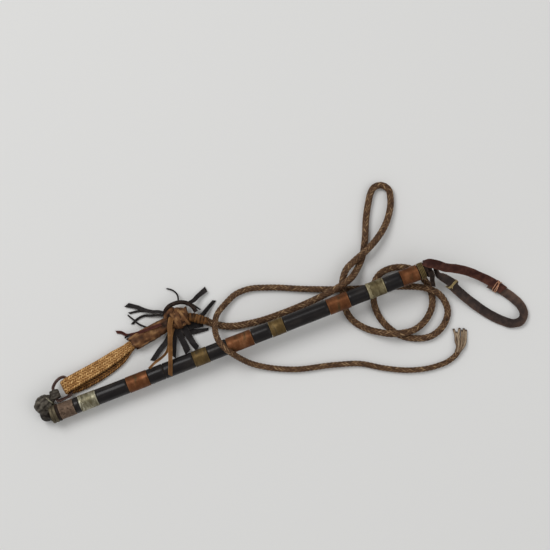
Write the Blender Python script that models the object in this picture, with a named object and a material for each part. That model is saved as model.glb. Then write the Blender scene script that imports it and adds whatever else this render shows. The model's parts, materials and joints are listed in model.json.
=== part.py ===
"""Long-lashed riding whip, lying as it is stored: a banded stock, a plaited keeper hung from a
leather ring at the tip, a knot with a tassel of leather strips, a long round plaited thong laid in
loops round the stock, and a wrist strap at the butt.

Metres, +Z up.  The layout frame has X along the stock from its tip towards its butt, Y across it
and Z up from the surface that the whip lies on.  Lengths in the tables are millimetres.
"""
import math

import bmesh
import bpy
from mathutils import Vector

# ---------------------------------------------------------------- driving dimensions
MM = 0.001                      # tables are in millimetres
GAP = 0.3                       # clearance between pieces that touch (mm)

STOCK_TILT = math.radians(2.19)  # the butt lies on strands of thong, so the stock slopes
STOCK_TIP_HEIGHT = 15.6         # height of the stock's axis at layout x = 0 (mm)
CORE_RADIUS = 7.2               # wooden core rod
SLEEVE_BORE = CORE_RADIUS + GAP
LEATHER_RADIUS = 9.9            # stacked and polished leather sleeves
METAL_RADIUS = 10.25            # metal bands stand a little proud
CORE_START, CORE_END = -27.6, 484.0
BAND_STEPS = 24                 # facets round the stock
EDGE = 0.4                      # rounding of a band's edge (mm)

THONG_RADIUS = 4.5              # round plaited thong
THONG_POINTS = 80
THONG_TAPER = ((0.0, 1.08), (0.05, 1.0), (0.55, 0.98), (1.0, 0.8))

EYE_CENTRE = (-7.6, 22.0, 16.0)  # leather eye at the tip; the ring turns in its bore
EYE_LENGTH, EYE_RADIUS, EYE_BORE = 11.6, 6.2, 3.4
RING_RADIUS = 1.6               # thin leather cord of the ring

STRAP_WIDTH, STRAP_THICK = 12.5, 2.2

# The frame's origin: centre of the box of everything but the thong, on the surface.
ORIGIN = (272.6, -4.2)

# Bands along the stock: name, start, end, radius, material
BANDS = (
    ("tip_brass_ring", -20.9, -13.0, 11.3, "brass"),
    ("tip_leather_ring", -12.7, -9.4, 11.0, "stock_leather"),
    ("tip_copper_band", -9.1, 10.0, METAL_RADIUS, "copper"),
    ("leather_sleeve_1", 10.3, 17.2, LEATHER_RADIUS, "stock_leather"),
    ("nickel_band_1", 17.5, 40.2, METAL_RADIUS, "nickel"),
    ("leather_sleeve_2", 40.5, 80.6, LEATHER_RADIUS, "stock_leather"),
    ("copper_band_1", 80.9, 108.2, METAL_RADIUS, "copper"),
    ("leather_sleeve_3", 108.5, 128.8, LEATHER_RADIUS, "stock_leather"),
    ("leather_sleeve_4", 129.1, 168.1, LEATHER_RADIUS, "stock_leather"),
    ("brass_band_1", 168.4, 187.2, METAL_RADIUS, "brass"),
    ("leather_sleeve_5", 187.5, 213.4, LEATHER_RADIUS, "stock_leather"),
    ("copper_band_2", 213.7, 246.2, METAL_RADIUS, "copper"),
    ("leather_sleeve_6", 246.5, 269.9, LEATHER_RADIUS, "stock_leather"),
    ("brass_band_2", 270.2, 288.3, METAL_RADIUS, "brass"),
    ("leather_sleeve_7", 288.6, 346.7, LEATHER_RADIUS, "stock_leather"),
    ("copper_band_3", 347.0, 374.5, METAL_RADIUS, "copper"),
    ("leather_sleeve_8", 374.8, 399.5, LEATHER_RADIUS, "stock_leather"),
    ("nickel_band_2", 399.8, 422.1, METAL_RADIUS, "nickel"),
    ("leather_sleeve_9", 422.4, 444.1, LEATHER_RADIUS, "stock_leather"),
    ("copper_band_4", 444.4, 466.9, METAL_RADIUS, "copper"),
    ("butt_collar", 476.2, 484.0, 10.6, "dark_leather"),
)
WIRE_START, WIRE_PITCH, WIRE_TURNS, WIRE_RADIUS = 468.3, 1.75, 4, 0.8

# Free round thong: out of the knot, along the stock, up and round a teardrop loop, under the
# stock, round two nested loops past the butt, back under the stock, over it near the knot and
# along to the frayed end.
THONG_ROUTE = (
    (197.2, 42.8, 9), (206, 35.5, 7.4), (220, 26.5, 5.2), (252, 18.5, 5), (294, 16, 5.2), (332, 17, 6.6),
    (354, 18, 15), (366, 19, 22), (377, 21, 24), (388, 25, 19), (400, 34, 9.5), (411, 45, 5),
    (423, 65, 5), (435, 91, 5), (446, 110, 5), (451.5, 118, 5), (459, 124, 5), (469, 123, 5),
    (475, 115, 5), (473, 103, 5), (459, 79, 6.5), (438, 61, 12), (419, 51, 14.5), (400, 44, 14.5),
    (387, 38, 14.3), (377, 26, 14.3), (372, 12, 13.2), (368, -4, 9), (370, -21, 5.5),
    (383, -40, 7.5), (397, -51, 12.5), (409, -58, 14.8), (423, -62, 14), (440, -63, 7.5),
    (458, -56, 5), (471, -43, 5), (476, -29, 5), (475, -11, 5), (465, 9, 5), (452, 17, 5),
    (438, 20, 5.5), (425, 18, 9), (414, 10, 13.4), (408, -1, 14), (404, -14, 8.5), (404, -31, 5),
    (410, -49, 5), (421, -64, 5), (437, -74, 5), (455, -78, 5), (475, -71, 5), (487, -56, 5),
    (487, -41, 9), (481, -29, 13.5), (473, -22, 14.4), (463, -15, 10), (451, -9, 5), (424, 1, 4.7),
    (383, 14, 4.7), (331, 34, 4.7), (287, 53, 4.7), (264, 60, 4.7), (247, 60, 4.9), (230, 53, 6.5),
    (215, 43, 12.5), (208, 31, 19.5), (205, 18, 29), (206, 6, 37), (210, -4, 39), (215, -11, 34.5),
    (222, -19, 23), (234, -30, 10.4), (251, -41, 5.6), (278, -54, 4.6), (330, -68, 4.3), (360, -78, 4.2),
    (386, -94, 4.1), (415, -108, 4), (445, -115, 3.9), (468, -114, 3.8), (479, -109, 3.8),
    (484, -103, 3.8),
)
# Strands of the frayed end
FRAY_RADIUS = 0.9
FRAY = (
    ((482.9, -100.0, 3.2), (482.8, -94, 2.8), (483.5, -87, 2.2), (484, -80, 1.3)),
    ((485.6, -101.0, 5.2), (487.0, -94, 4.0), (488.8, -88, 2.6), (490.5, -83, 1.3)),
    ((487.0, -102.0, 2.6), (490.0, -96, 2.2), (493.5, -91, 1.6), (497, -87, 1.2)),
    ((487.6, -104.4, 4.4), (492.0, -100, 3.2), (498, -95.5, 1.3)),
)

# Leather ring: through the eye's bore, over to the keeper's fold, through the fold and back
RING_ROUTE = (
    (-7.6, 18.5, 16), (-7.6, 26, 16), (-7.2, 30.5, 15.8), (-4.5, 34.2, 14.5), (0, 37.8, 12.2),
    (5, 39.8, 9.6), (9.5, 39.4, 7.8), (11.6, 36.2, 7.2), (11.8, 28, 7.2), (11.6, 20, 7.2),
    (10.4, 16.4, 7.6), (7, 14.6, 9.2), (2, 14.0, 11.8), (-3, 13.2, 14.4), (-6.4, 13.3, 15.7),
)

# Plaited keeper: lower layer out of the sleeve, round the fold, upper layer back into the sleeve
KEEPER_ROUTE = (
    (114, 49.0, 5.6), (104, 47.5, 5.7), (88, 40.5, 3.6), (60, 32.2, 2.5), (30, 27.8, 2.5),
    (12, 26.6, 2.5), (6.6, 26.8, 3.9), (4.8, 27, 7.4), (6.6, 27.4, 11.0), (12, 28.6, 12.6),
    (20, 30, 12.2), (34, 32.4, 10.0), (60, 36.8, 8.8), (88, 43.0, 9.2), (104, 47.3, 9.8),
    (114, 49.0, 10.0),
)
KEEPER_WIDTH, KEEPER_THICK = 17.6, 3.8
KEEPER_TUCK_WIDTH = 11.4        # where the strap's two tails are gathered into the sleeve
KEEPER_ACROSS = (-0.12, 0.99, 0.0)

# Leather sleeve over the keeper's tails: x, y and half-widths across and up, bottom on the surface
SLEEVE_STATIONS = (
    (103, 47.6, 9.8, 7.4), (114, 49.2, 10.4, 7.6), (126, 51.2, 10.2, 7.6), (138, 53.0, 9.9, 7.6),
    (147, 54.2, 9.6, 7.8),
)
SLEEVE_WALL = 2.0

KNOT_CENTRE, KNOT_HALF = (168.5, 57.0, 9.0), (14.0, 12.6, 8.6)

# Leather strips of the tassel: route, width at the root and at the tip
STRIP_THICK = 1.3
STRIPS = {
    "tassel_strip_1": (((148.5, 73.5, 6.5), (141, 76.5, 6), (134, 81, 5), (125, 89, 3), (113.5, 97, 1.6)),
                       3.6, 6.2),
    "tassel_strip_2": (((126.5, 83.6, 1.6), (121, 84.9, 1.5), (112.5, 86, 1.2)), 2.8, 2.6),
    "tassel_strip_3": (((137.5, 72.9, 3.2), (130, 76.0, 2.4), (119, 75.0, 1.6), (111.5, 71.6, 1.2)),
                       3.0, 3.0),
    "tassel_strip_4": (((124, 63.2, 9), (119.5, 68, 7.6), (115, 76.2, 5.2), (110.5, 84, 4.2)), 2.8, 2.0),
    "tassel_strip_5": (((99.6, 61.6, 2.6), (95.5, 66.5, 2), (89.5, 69.5, 1.4)), 4.0, 3.8),
    "tassel_strip_6": (((176.6, 78.6, 11), (177.6, 84, 7.5), (176.4, 89.5, 5), (172.6, 94.8, 3.2),
                        (167.8, 98.2, 2)), 2.4, 1.8),
    "tassel_strip_7": (((193.4, 70.6, 10), (201, 74.4, 6), (214, 79.4, 2.6)), 4.2, 7.6),
    "tassel_strip_8": (((198.4, 50.2, 8.5), (207, 55.6, 5), (218.6, 62.4, 1.8)), 6.6, 4.2),
    "tassel_strip_9": (((145.5, 36.5, 3.2), (131, 27.4, 2.2), (119.6, 19.4, 1.4)), 5.6, 5.2),
    "tassel_strip_10": (((146.5, 30.4, 9), (139, 20.6, 18), (132, 16.4, 25), (121, 12.4, 30.6),
                         (113.4, 8.6, 32.2)), 3.4, 3.4),
    "tassel_strip_11": (((156.0, 51.6, 20.0), (151.2, 38, 21.6), (147, 26, 26.0), (143.2, 14, 32.0),
                         (138.6, 1.5, 33.2), (134.6, -9, 33.4)), 6.2, 5.0),
    "tassel_strip_12": (((163.2, 31.6, 5.6), (164, 23, 6.6), (164.6, 12.6, 7.0)), 5.0, 6.4),
    "tassel_strip_13": (((173.0, 29.0, 5.6), (174.6, 21, 6.6), (177.6, 12.4, 7.0)), 6.0, 5.0),
    "tassel_strip_14": (((154.8, 36.2, 6.6), (150, 24.6, 5.6), (145.6, 14.4, 4.6)), 6.2, 4.4),
    "tassel_strip_15": (((165, 40.0, 1.9), (181, 34.8, 1.9), (198.6, 31.4, 1.1)), 12.0, 3.2),
}
STRIP_COLOURS = {"tassel_strip_5": "red_leather", "tassel_strip_10": "tan_leather",
                 "tassel_strip_11": "tan_leather"}

# Wrist strap: routes of its lengths, from the butt round the loop and back
STRAP_ROOT_UPPER = ((478.5, 5.6, 46.8), (484.5, 2.8, 46.4), (490.6, -0.4, 41.4), (495.4, -3.3, 37.2))
STRAP_UPPER = ((499.2, -6.1, 35.0), (511, -11.5, 29.6), (526, -20, 22.4), (539, -30.6, 15.6),
               (550, -41, 9.8), (557.5, -50, 7.2), (562, -57.4, 6.2))
STRAP_OUTER = ((548.5, -43.4, 5.6), (556, -51.4, 4.2), (563, -59.6, 3.0), (570.6, -71.5, 2.4),
               (575.4, -84, 2.6), (574.4, -94, 4.0), (567.0, -101.2, 4.6), (557.5, -100.4, 3.4),
               (546, -91.6, 2.0), (535, -79.6, 2.2), (522.5, -62.5, 5.0), (512, -46.2, 9.8),
               (504.6, -33.6, 15.6), (499.8, -25.2, 19.6))
STRAP_TAB = ((507.6, -32.4, 18.6), (503.6, -27.6, 21.8), (497.2, -20.4, 26.8), (491.8, -14.8, 30.8))
STRAP_ROOT_LOWER = ((489.0, -11.9, 32.9), (488.2, -6.0, 33.6), (488.1, 1.6, 34.0))
BUTT_TAIL = ((480.3, -5.8, 44.4), (480.3, -9.9, 41.8), (480.3, -12.3, 37.5), (480.2, -13.6, 32.0),
             (479.8, -16.6, 26.4), (479.2, -22.4, 23.0))
BUTT_TAIL_WIDTH = 7.0
BINDING_WIRE = 0.75

COLOURS = {                     # base colour (linear), metallic, roughness
    "copper": ((0.24, 0.085, 0.045), 1.0, 0.45),
    "brass": ((0.30, 0.22, 0.09), 1.0, 0.45),
    "nickel": ((0.36, 0.33, 0.24), 1.0, 0.4),
    "stock_leather": ((0.022, 0.019, 0.018), 0.0, 0.4),
    "dark_leather": ((0.03, 0.02, 0.017), 0.0, 0.6),
    "head_leather": ((0.045, 0.043, 0.035), 0.0, 0.65),
    "core_wood": ((0.25, 0.15, 0.08), 0.0, 0.7),
    "rawhide": ((0.42, 0.24, 0.09), 0.0, 0.65),
    "sleeve_leather": ((0.15, 0.055, 0.02), 0.0, 0.6),
    "tan_leather": ((0.25, 0.11, 0.03), 0.0, 0.6),
    "red_leather": ((0.10, 0.02, 0.015), 0.0, 0.6),
    "tassel_leather": ((0.02, 0.017, 0.017), 0.0, 0.6),
    "thong_leather": ((0.13, 0.075, 0.035), 0.0, 0.55),
    "strap_red_brown": ((0.07, 0.02, 0.015), 0.0, 0.55),
    "strap_brown": ((0.055, 0.035, 0.03), 0.0, 0.6),
}


# ---------------------------------------------------------------- helpers
def clear_scene():
    for obj in list(bpy.data.objects):
        bpy.data.objects.remove(obj, do_unlink=True)


def material(slot):
    """The slot's Principled material, made once."""
    found = bpy.data.materials.get(slot)
    if found:
        return found
    colour, metallic, roughness = COLOURS[slot]
    made = bpy.data.materials.new(slot)
    made.use_nodes = True
    shader = made.node_tree.nodes["Principled BSDF"]
    shader.inputs["Base Color"].default_value = (*colour, 1.0)
    shader.inputs["Metallic"].default_value = metallic
    shader.inputs["Roughness"].default_value = roughness
    return made


def empty(name, location, rotation=(0.0, 0.0, 0.0), parent=None):
    """A frame that pieces are parented to."""
    obj = bpy.data.objects.new(name, None)
    bpy.context.scene.collection.objects.link(obj)
    obj.location = location
    obj.rotation_euler = rotation
    obj.parent = parent
    return obj


def link(name, data, slot, parent, location=(0.0, 0.0, 0.0)):
    """Link a mesh or curve as a named piece (location in millimetres)."""
    obj = bpy.data.objects.new(name, data)
    bpy.context.scene.collection.objects.link(obj)
    obj.location = Vector(location) * MM
    obj.parent = parent
    data.materials.append(material(slot))
    return obj


def mesh_from(name, bm):
    """Turn a bmesh (millimetres) into a smooth-shaded mesh in metres, faces outward."""
    bmesh.ops.scale(bm, vec=(MM, MM, MM), verts=bm.verts)
    bmesh.ops.recalc_face_normals(bm, faces=bm.faces)
    mesh = bpy.data.meshes.new(name)
    bm.to_mesh(mesh)
    bm.free()
    mesh.shade_smooth()
    mesh.set_sharp_from_angle(angle=math.radians(35))
    return mesh


def rings_mesh(name, rings, close_loop=False):
    """Skin a list of point rings; the ends are capped, or the last ring joins the first."""
    bm = bmesh.new()
    rows = [[bm.verts.new(p) for p in ring] for ring in rings]
    pairs = list(zip(rows, rows[1:]))
    if close_loop:
        pairs.append((rows[-1], rows[0]))
    for row, nxt in pairs:
        for i in range(len(row)):
            j = (i + 1) % len(row)
            bm.faces.new((row[i], row[j], nxt[j], nxt[i]))
    if not close_loop:
        bm.faces.new(rows[0])
        bm.faces.new(reversed(rows[-1]))
    return mesh_from(name, bm)


def turned(name, profile, slot, parent, location=(0.0, 0.0, 0.0), steps=BAND_STEPS):
    """Revolve a closed (x, radius) profile about the X axis."""
    rings = []
    for k in range(steps):
        a = 2 * math.pi * k / steps
        rings.append([(x, r * math.cos(a), r * math.sin(a)) for x, r in profile])
    return link(name, rings_mesh(name, rings, close_loop=True), slot, parent, location)


def smooth_path(points, steps=12):
    """Cubic curve through the points, with chord-length tangents; also the parameter of each."""
    pts = [Vector(p) for p in points]
    knots = [0.0]
    for a, b in zip(pts, pts[1:]):
        knots.append(knots[-1] + (b - a).length)
    tangents = []
    for i in range(len(pts)):
        lo, hi = max(i - 1, 0), min(i + 1, len(pts) - 1)
        if 0 < i < len(pts) - 1:
            before, after = knots[i] - knots[lo], knots[hi] - knots[i]
            slope_in = (pts[i] - pts[lo]) / before
            slope_out = (pts[hi] - pts[i]) / after
            tangents.append((slope_in * after + slope_out * before) / (before + after))
        else:
            tangents.append((pts[hi] - pts[lo]) / (knots[hi] - knots[lo]))
    out = []
    for i in range(len(pts) - 1):
        span = knots[i + 1] - knots[i]
        for k in range(steps):
            t = k / steps
            h00, h10 = (1 + 2 * t) * (1 - t) ** 2, t * (1 - t) ** 2
            h01, h11 = t * t * (3 - 2 * t), t * t * (t - 1)
            out.append(pts[i] * h00 + tangents[i] * h10 * span + pts[i + 1] * h01
                       + tangents[i + 1] * h11 * span)
    out.append(pts[-1])
    return out


def spaced(path, count, bend_weight=18.0):
    """Pick count points along a fine path, closer together where it bends (mm per radian)."""
    cost = [0.0]
    for i in range(1, len(path)):
        step = (path[i] - path[i - 1]).length
        turn = 0.0
        if i < len(path) - 1:
            turn = (path[i + 1] - path[i]).angle(path[i] - path[i - 1], 0.0)
        cost.append(cost[-1] + step + bend_weight * turn)
    out, at = [], 0
    for k in range(count):
        want = cost[-1] * k / (count - 1)
        while at < len(cost) - 2 and cost[at + 1] < want:
            at += 1
        share = (want - cost[at]) / max(cost[at + 1] - cost[at], 1e-9)
        out.append(path[at].lerp(path[at + 1], min(max(share, 0.0), 1.0)))
    return out


def tangents_of(path):
    return [(path[min(i + 1, len(path) - 1)] - path[max(i - 1, 0)]).normalized()
            for i in range(len(path))]


def lerp_table(table, t):
    """Linear reading of ((t0, v0), (t1, v1), ...)."""
    for (t0, v0), (t1, v1) in zip(table, table[1:]):
        if t <= t1:
            return v0 + (v1 - v0) * (t - t0) / (t1 - t0)
    return table[-1][1]


def ribbon(name, route, width_root, width_tip, thick, slot, parent, count=12, across=None,
           widths=None):
    """Flat leather strip along a route; its width lies level unless across is given."""
    path = spaced(smooth_path(route), count)
    rings = []
    for i, (point, along) in enumerate(zip(path, tangents_of(path))):
        t = i / (count - 1)
        side = Vector(across) if across else Vector((0, 0, 1)).cross(along)
        side = (side - along * side.dot(along)).normalized()
        up = along.cross(side)
        width = lerp_table(widths, t) if widths else width_root + (width_tip - width_root) * t
        w, h = side * width / 2, up * thick / 2
        rings.append([point - w - h, point + w - h, point + w + h, point - w + h])
    return link(name, rings_mesh(name, rings), slot, parent)


def tube(name, points, radius, slot, parent, taper=None, cyclic=False, resolution=2):
    """Round cord as a bevelled curve with filled caps (route in millimetres)."""
    curve = bpy.data.curves.new(name, "CURVE")
    curve.dimensions = "3D"
    curve.bevel_depth = radius * MM
    curve.bevel_resolution = resolution
    curve.use_fill_caps = True
    spline = curve.splines.new("POLY")
    spline.points.add(len(points) - 1)
    for i, point in enumerate(points):
        spline.points[i].co = (*(Vector(point) * MM), 1.0)
        spline.points[i].radius = lerp_table(taper, i / (len(points) - 1)) if taper else 1.0
    spline.use_cyclic_u = cyclic
    return link(name, curve, slot, parent)


def turned_solid(name, profile, slot, parent, location=(0.0, 0.0, 0.0), steps=BAND_STEPS):
    """Solid of revolution about X from an (x, radius) profile, capped at both ends."""
    rings = []
    for x, r in profile:
        rings.append([(x, r * math.cos(2 * math.pi * k / steps), r * math.sin(2 * math.pi * k / steps))
                      for k in range(steps)])
    return link(name, rings_mesh(name, rings), slot, parent, location)


def cut(obj, tool):
    modifier = obj.modifiers.new("cut_" + tool.name, "BOOLEAN")
    modifier.operation = "DIFFERENCE"
    modifier.object = tool


# ---------------------------------------------------------------- stock
def band_profile(length, radius, bore):
    return ((0, bore), (0, radius - EDGE), (EDGE, radius), (length - EDGE, radius),
            (length, radius - EDGE), (length, bore))


def make_stock(stock_axis):
    """Core rod with its sleeves and bands, and the brass wire at the butt."""
    for name, start, end, radius, slot in BANDS:
        turned(name, band_profile(end - start, radius, SLEEVE_BORE), slot, stock_axis, (start, 0, 0))
    length = CORE_END - CORE_START
    turned_solid("core_rod", ((0, CORE_RADIUS - 1), (1, CORE_RADIUS), (length, CORE_RADIUS)),
                 "core_wood", stock_axis, (CORE_START, 0, 0))

    steps = 16
    helix_radius = SLEEVE_BORE + GAP + WIRE_RADIUS + 1.7
    helix = []
    for k in range(WIRE_TURNS * steps + 1):
        a = 2 * math.pi * k / steps
        helix.append((WIRE_START + WIRE_PITCH * k / steps, helix_radius * math.cos(a),
                      helix_radius * math.sin(a)))
    tube("butt_wire_binding", helix, WIRE_RADIUS, "brass", stock_axis, resolution=1)
    turned("butt_wire_seat", ((467.2, SLEEVE_BORE), (467.2, 9.1), (475.9, 9.1), (475.9, SLEEVE_BORE)),
           "dark_leather", stock_axis)


def make_head(root, stock_axis):
    """Fluted leather knob over the tip, with the eye that the ring hangs in."""
    centre, half = Vector((-26.0, 11.0, 12.8)), (11.2, 15.6, 14.0)
    flutes, around, along = 9, 36, 12
    rings = []
    for i in range(1, along):
        latitude = math.pi * i / along
        x = centre.x - half[0] * math.cos(latitude)
        ring = []
        for k in range(around):
            a = 2 * math.pi * k / around
            bulge = math.sin(latitude) ** 0.8 * (1 + 0.055 * math.cos(flutes * a))
            y = centre.y + half[1] * bulge * math.cos(a)
            z = centre.z + half[2] * bulge * math.sin(a)
            ring.append((x, y, max(z, 0.0)))
        rings.append(ring)
    head = link("head_knob", rings_mesh("head_knob", rings), "head_leather", root)
    ring_clearance = 11.3 + GAP
    recess = turned_solid("tip_recess", ((-28.2, SLEEVE_BORE), (-21.2, SLEEVE_BORE),
                                         (-21.2, ring_clearance), (4, ring_clearance)),
                          "core_wood", stock_axis)
    recess.hide_render = True
    recess.display_type = "WIRE"
    cut(head, recess)
    profile = ((0, EYE_BORE), (0, EYE_RADIUS - 1), (1, EYE_RADIUS), (EYE_LENGTH - 1, EYE_RADIUS),
               (EYE_LENGTH, EYE_RADIUS - 1), (EYE_LENGTH, EYE_BORE))
    eye = turned("head_eye", profile, "head_leather", root, steps=20)
    eye.rotation_euler = (0, 0, math.pi / 2)
    eye.location = Vector((EYE_CENTRE[0], EYE_CENTRE[1] - EYE_LENGTH / 2, EYE_CENTRE[2])) * MM


# ---------------------------------------------------------------- lash
def make_ring(root):
    """Leather cord loop that joins the head's eye to the keeper's fold."""
    closed = [Vector(p) for p in RING_ROUTE] + [Vector(RING_ROUTE[0])]
    tube("leather_ring", spaced(smooth_path(closed), 37, 6.0)[:-1], RING_RADIUS, "dark_leather", root,
         cyclic=True, resolution=1)


def make_keeper(root):
    """One plaited rawhide strap, doubled over the ring, with both tails in the sleeve."""
    widths = ((0.0, KEEPER_TUCK_WIDTH), (0.09, KEEPER_TUCK_WIDTH), (0.16, 15.6), (0.4, KEEPER_WIDTH),
              (0.6, KEEPER_WIDTH), (0.84, 15.6), (0.91, KEEPER_TUCK_WIDTH), (1.0, KEEPER_TUCK_WIDTH))
    ribbon("plaited_keeper", KEEPER_ROUTE, 0, 0, KEEPER_THICK, "rawhide", root, count=44,
           across=KEEPER_ACROSS, widths=widths)


def oval(x, y, half_across, half_up, bottom, steps=24, power=3.4):
    """Rounded-box ring in the YZ plane, standing on height bottom."""
    ring = []
    for k in range(steps):
        a = 2 * math.pi * k / steps
        c, s = math.cos(a), math.sin(a)
        ring.append((x, y + half_across * math.copysign(abs(c) ** (2 / power), c),
                     bottom + half_up + half_up * math.copysign(abs(s) ** (2 / power), s)))
    return ring


def make_sleeve(root):
    """Leather tube, open at both ends, over the keeper's tails."""
    outer = [oval(x, y, across, up, 0.2) for x, y, across, up in SLEEVE_STATIONS]
    inner = [oval(x, y, across - SLEEVE_WALL, up - SLEEVE_WALL, 0.2 + SLEEVE_WALL)
             for x, y, across, up in SLEEVE_STATIONS]
    rings = outer + inner[::-1]
    link("keeper_sleeve", rings_mesh("keeper_sleeve", rings, close_loop=True), "sleeve_leather", root)


def make_knot(root):
    """Bulky leather knot: its core, three turns round its neck, an arched bight and a tan wrap."""
    cx, cy, cz = KNOT_CENTRE
    hx, hy, hz = KNOT_HALF
    rings = []
    around, along = 20, 10
    for i in range(1, along):
        latitude = math.pi * i / along
        x = cx - hx * math.cos(latitude)
        bulge = math.sin(latitude) ** 0.7
        rings.append([(x, cy + hy * bulge * math.cos(2 * math.pi * k / around),
                       cz + hz * bulge * math.sin(2 * math.pi * k / around)) for k in range(around)])
    link("knot_core", rings_mesh("knot_core", rings), "sleeve_leather", root)
    arch = ((153.4, 66.4, 7.4), (157, 71.4, 11), (163, 74.6, 13.6), (171, 75.2, 14.4), (180, 73.4, 14),
            (187.2, 68.4, 12.4), (190.8, 62.4, 10.6), (192.0, 56.4, 9.4))
    tube("knot_bight", spaced(smooth_path(arch), 16), 2.5, "dark_leather", root, resolution=2)
    wrap = ((185.4, 51.4, 9.6), (190.0, 48.2, 9.4), (196.2, 43.6, 9.1))
    tube("knot_tan_wrap", spaced(smooth_path(wrap), 5), 5.6, "tan_leather", root,
         taper=((0, 0.9), (0.4, 1.0), (1, 0.95)), resolution=3)


def make_tassel(root):
    for name, (route, width_root, width_tip) in STRIPS.items():
        slot = STRIP_COLOURS.get(name, "tassel_leather")
        ribbon(name, route, width_root, width_tip, STRIP_THICK, slot, root, count=8)


# ---------------------------------------------------------------- wrist strap
def binding_wire(name, route_a, route_b, near, turns, slot, root):
    """One length of wire wound round two lapped strap lengths, where they pass a given point."""
    middles, tangents = [], []
    for route in (route_a, route_b):
        path = smooth_path(route)
        at = min(range(len(path)), key=lambda i: (path[i] - Vector(near)).length)
        middles.append(path[at])
        tangents.append(tangents_of(path)[at])
    centre = (middles[0] + middles[1]) / 2
    along = tangents[0] - tangents[1] if tangents[0].dot(tangents[1]) < 0 else tangents[0] + tangents[1]
    along.normalize()
    side = Vector((0, 0, 1)).cross(along).normalized()
    up = along.cross(side)
    apart = middles[0] - middles[1]
    half_up = abs(apart.dot(up)) / 2 + STRAP_THICK / 2 + BINDING_WIRE + 4 * GAP
    half_side = abs(apart.dot(side)) / 2 + STRAP_WIDTH / 2 + BINDING_WIRE + 2 * GAP
    around, power = 20, 0.28
    route = []
    for k in range(turns * around + 1):
        a = 2 * math.pi * k / around
        c, s = math.cos(a), math.sin(a)
        out = (side * math.copysign(abs(c) ** power, c) * half_side
               + up * math.copysign(abs(s) ** power, s) * half_up)
        shift = (k / around - turns / 2) * (2 * BINDING_WIRE + GAP)
        route.append(centre + along * shift + out)
    return tube(name, route, BINDING_WIRE, slot, root, resolution=1)


def make_strap(root):
    """Wrist strap of three lengths, lapped and bound with wire, and its roots at the butt."""
    ribbon("strap_root_upper", STRAP_ROOT_UPPER, STRAP_WIDTH, STRAP_WIDTH, STRAP_THICK,
           "strap_red_brown", root, count=8)
    ribbon("strap_root_lower", STRAP_ROOT_LOWER, 8.0, 8.0, STRAP_THICK, "strap_brown", root, count=5,
           across=(0.3, 0.1, 1.0))
    ribbon("butt_tail", BUTT_TAIL, BUTT_TAIL_WIDTH, BUTT_TAIL_WIDTH, 1.8, "dark_leather", root,
           count=14, across=(1, 0, 0))
    ribbon("strap_upper", STRAP_UPPER, STRAP_WIDTH, STRAP_WIDTH, STRAP_THICK, "strap_red_brown", root,
           count=14)
    ribbon("strap_outer", STRAP_OUTER, STRAP_WIDTH, STRAP_WIDTH + 0.8, STRAP_THICK, "strap_brown",
           root, count=34)
    ribbon("strap_tab", STRAP_TAB, STRAP_WIDTH, STRAP_WIDTH, STRAP_THICK, "strap_brown", root, count=6)
    binding_wire("copper_binding", STRAP_UPPER, STRAP_OUTER, (556, -49.5, 5.8), 3, "copper", root)
    binding_wire("brass_binding", STRAP_TAB, STRAP_OUTER, (502.6, -27.8, 20.6), 2, "brass", root)


# ---------------------------------------------------------------- thong
def make_thong(root):
    """The free round thong and the strands of its frayed end."""
    path = spaced(smooth_path(THONG_ROUTE), THONG_POINTS)
    tube("thong", path, THONG_RADIUS, "thong_leather", root, taper=THONG_TAPER)
    for i, route in enumerate(FRAY):
        tube(f"frayed_strand_{i + 1}", spaced(smooth_path(route), 7), FRAY_RADIUS, "thong_leather", root,
             taper=((0, 1.0), (1, 0.6)), resolution=1)


def main():
    clear_scene()
    root = empty("layout_origin", (-ORIGIN[0] * MM, -ORIGIN[1] * MM, 0.0))
    stock_axis = empty("stock_axis", (0.0, 0.0, STOCK_TIP_HEIGHT * MM), (0.0, -STOCK_TILT, 0.0), root)
    make_stock(stock_axis)
    make_head(root, stock_axis)
    make_ring(root)
    make_keeper(root)
    make_sleeve(root)
    make_knot(root)
    make_tassel(root)
    make_strap(root)
    make_thong(root)


main()
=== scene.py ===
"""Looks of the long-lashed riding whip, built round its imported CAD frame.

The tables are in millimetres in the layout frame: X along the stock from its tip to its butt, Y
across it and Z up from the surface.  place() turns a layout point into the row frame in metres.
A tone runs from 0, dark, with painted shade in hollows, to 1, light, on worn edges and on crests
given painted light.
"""
import json
import math
import random

import bmesh
import bpy
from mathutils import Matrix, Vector, noise

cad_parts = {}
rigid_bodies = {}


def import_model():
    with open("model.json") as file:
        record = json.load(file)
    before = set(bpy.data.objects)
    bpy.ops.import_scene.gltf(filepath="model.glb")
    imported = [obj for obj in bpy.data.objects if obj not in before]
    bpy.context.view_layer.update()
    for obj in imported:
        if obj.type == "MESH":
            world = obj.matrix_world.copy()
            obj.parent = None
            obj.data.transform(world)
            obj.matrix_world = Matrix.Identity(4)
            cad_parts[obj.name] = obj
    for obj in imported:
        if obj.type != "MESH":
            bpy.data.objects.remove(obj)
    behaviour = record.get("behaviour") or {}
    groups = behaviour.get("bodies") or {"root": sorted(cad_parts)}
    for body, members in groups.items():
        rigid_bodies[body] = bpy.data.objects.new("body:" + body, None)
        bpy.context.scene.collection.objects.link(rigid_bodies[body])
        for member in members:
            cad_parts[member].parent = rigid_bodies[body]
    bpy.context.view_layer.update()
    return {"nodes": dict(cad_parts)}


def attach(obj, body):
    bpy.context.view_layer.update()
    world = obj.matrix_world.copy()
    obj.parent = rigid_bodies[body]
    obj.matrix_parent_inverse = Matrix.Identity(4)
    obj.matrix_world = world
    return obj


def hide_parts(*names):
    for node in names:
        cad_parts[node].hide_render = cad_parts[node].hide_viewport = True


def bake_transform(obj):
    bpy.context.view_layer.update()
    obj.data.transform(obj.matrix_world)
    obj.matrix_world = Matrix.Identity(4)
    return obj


MM = 0.001
ORIGIN = (272.6, -4.2)              # layout point over the frame's origin (mm)
TAU = 2 * math.pi
UP = Vector((0, 0, 1))

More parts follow.
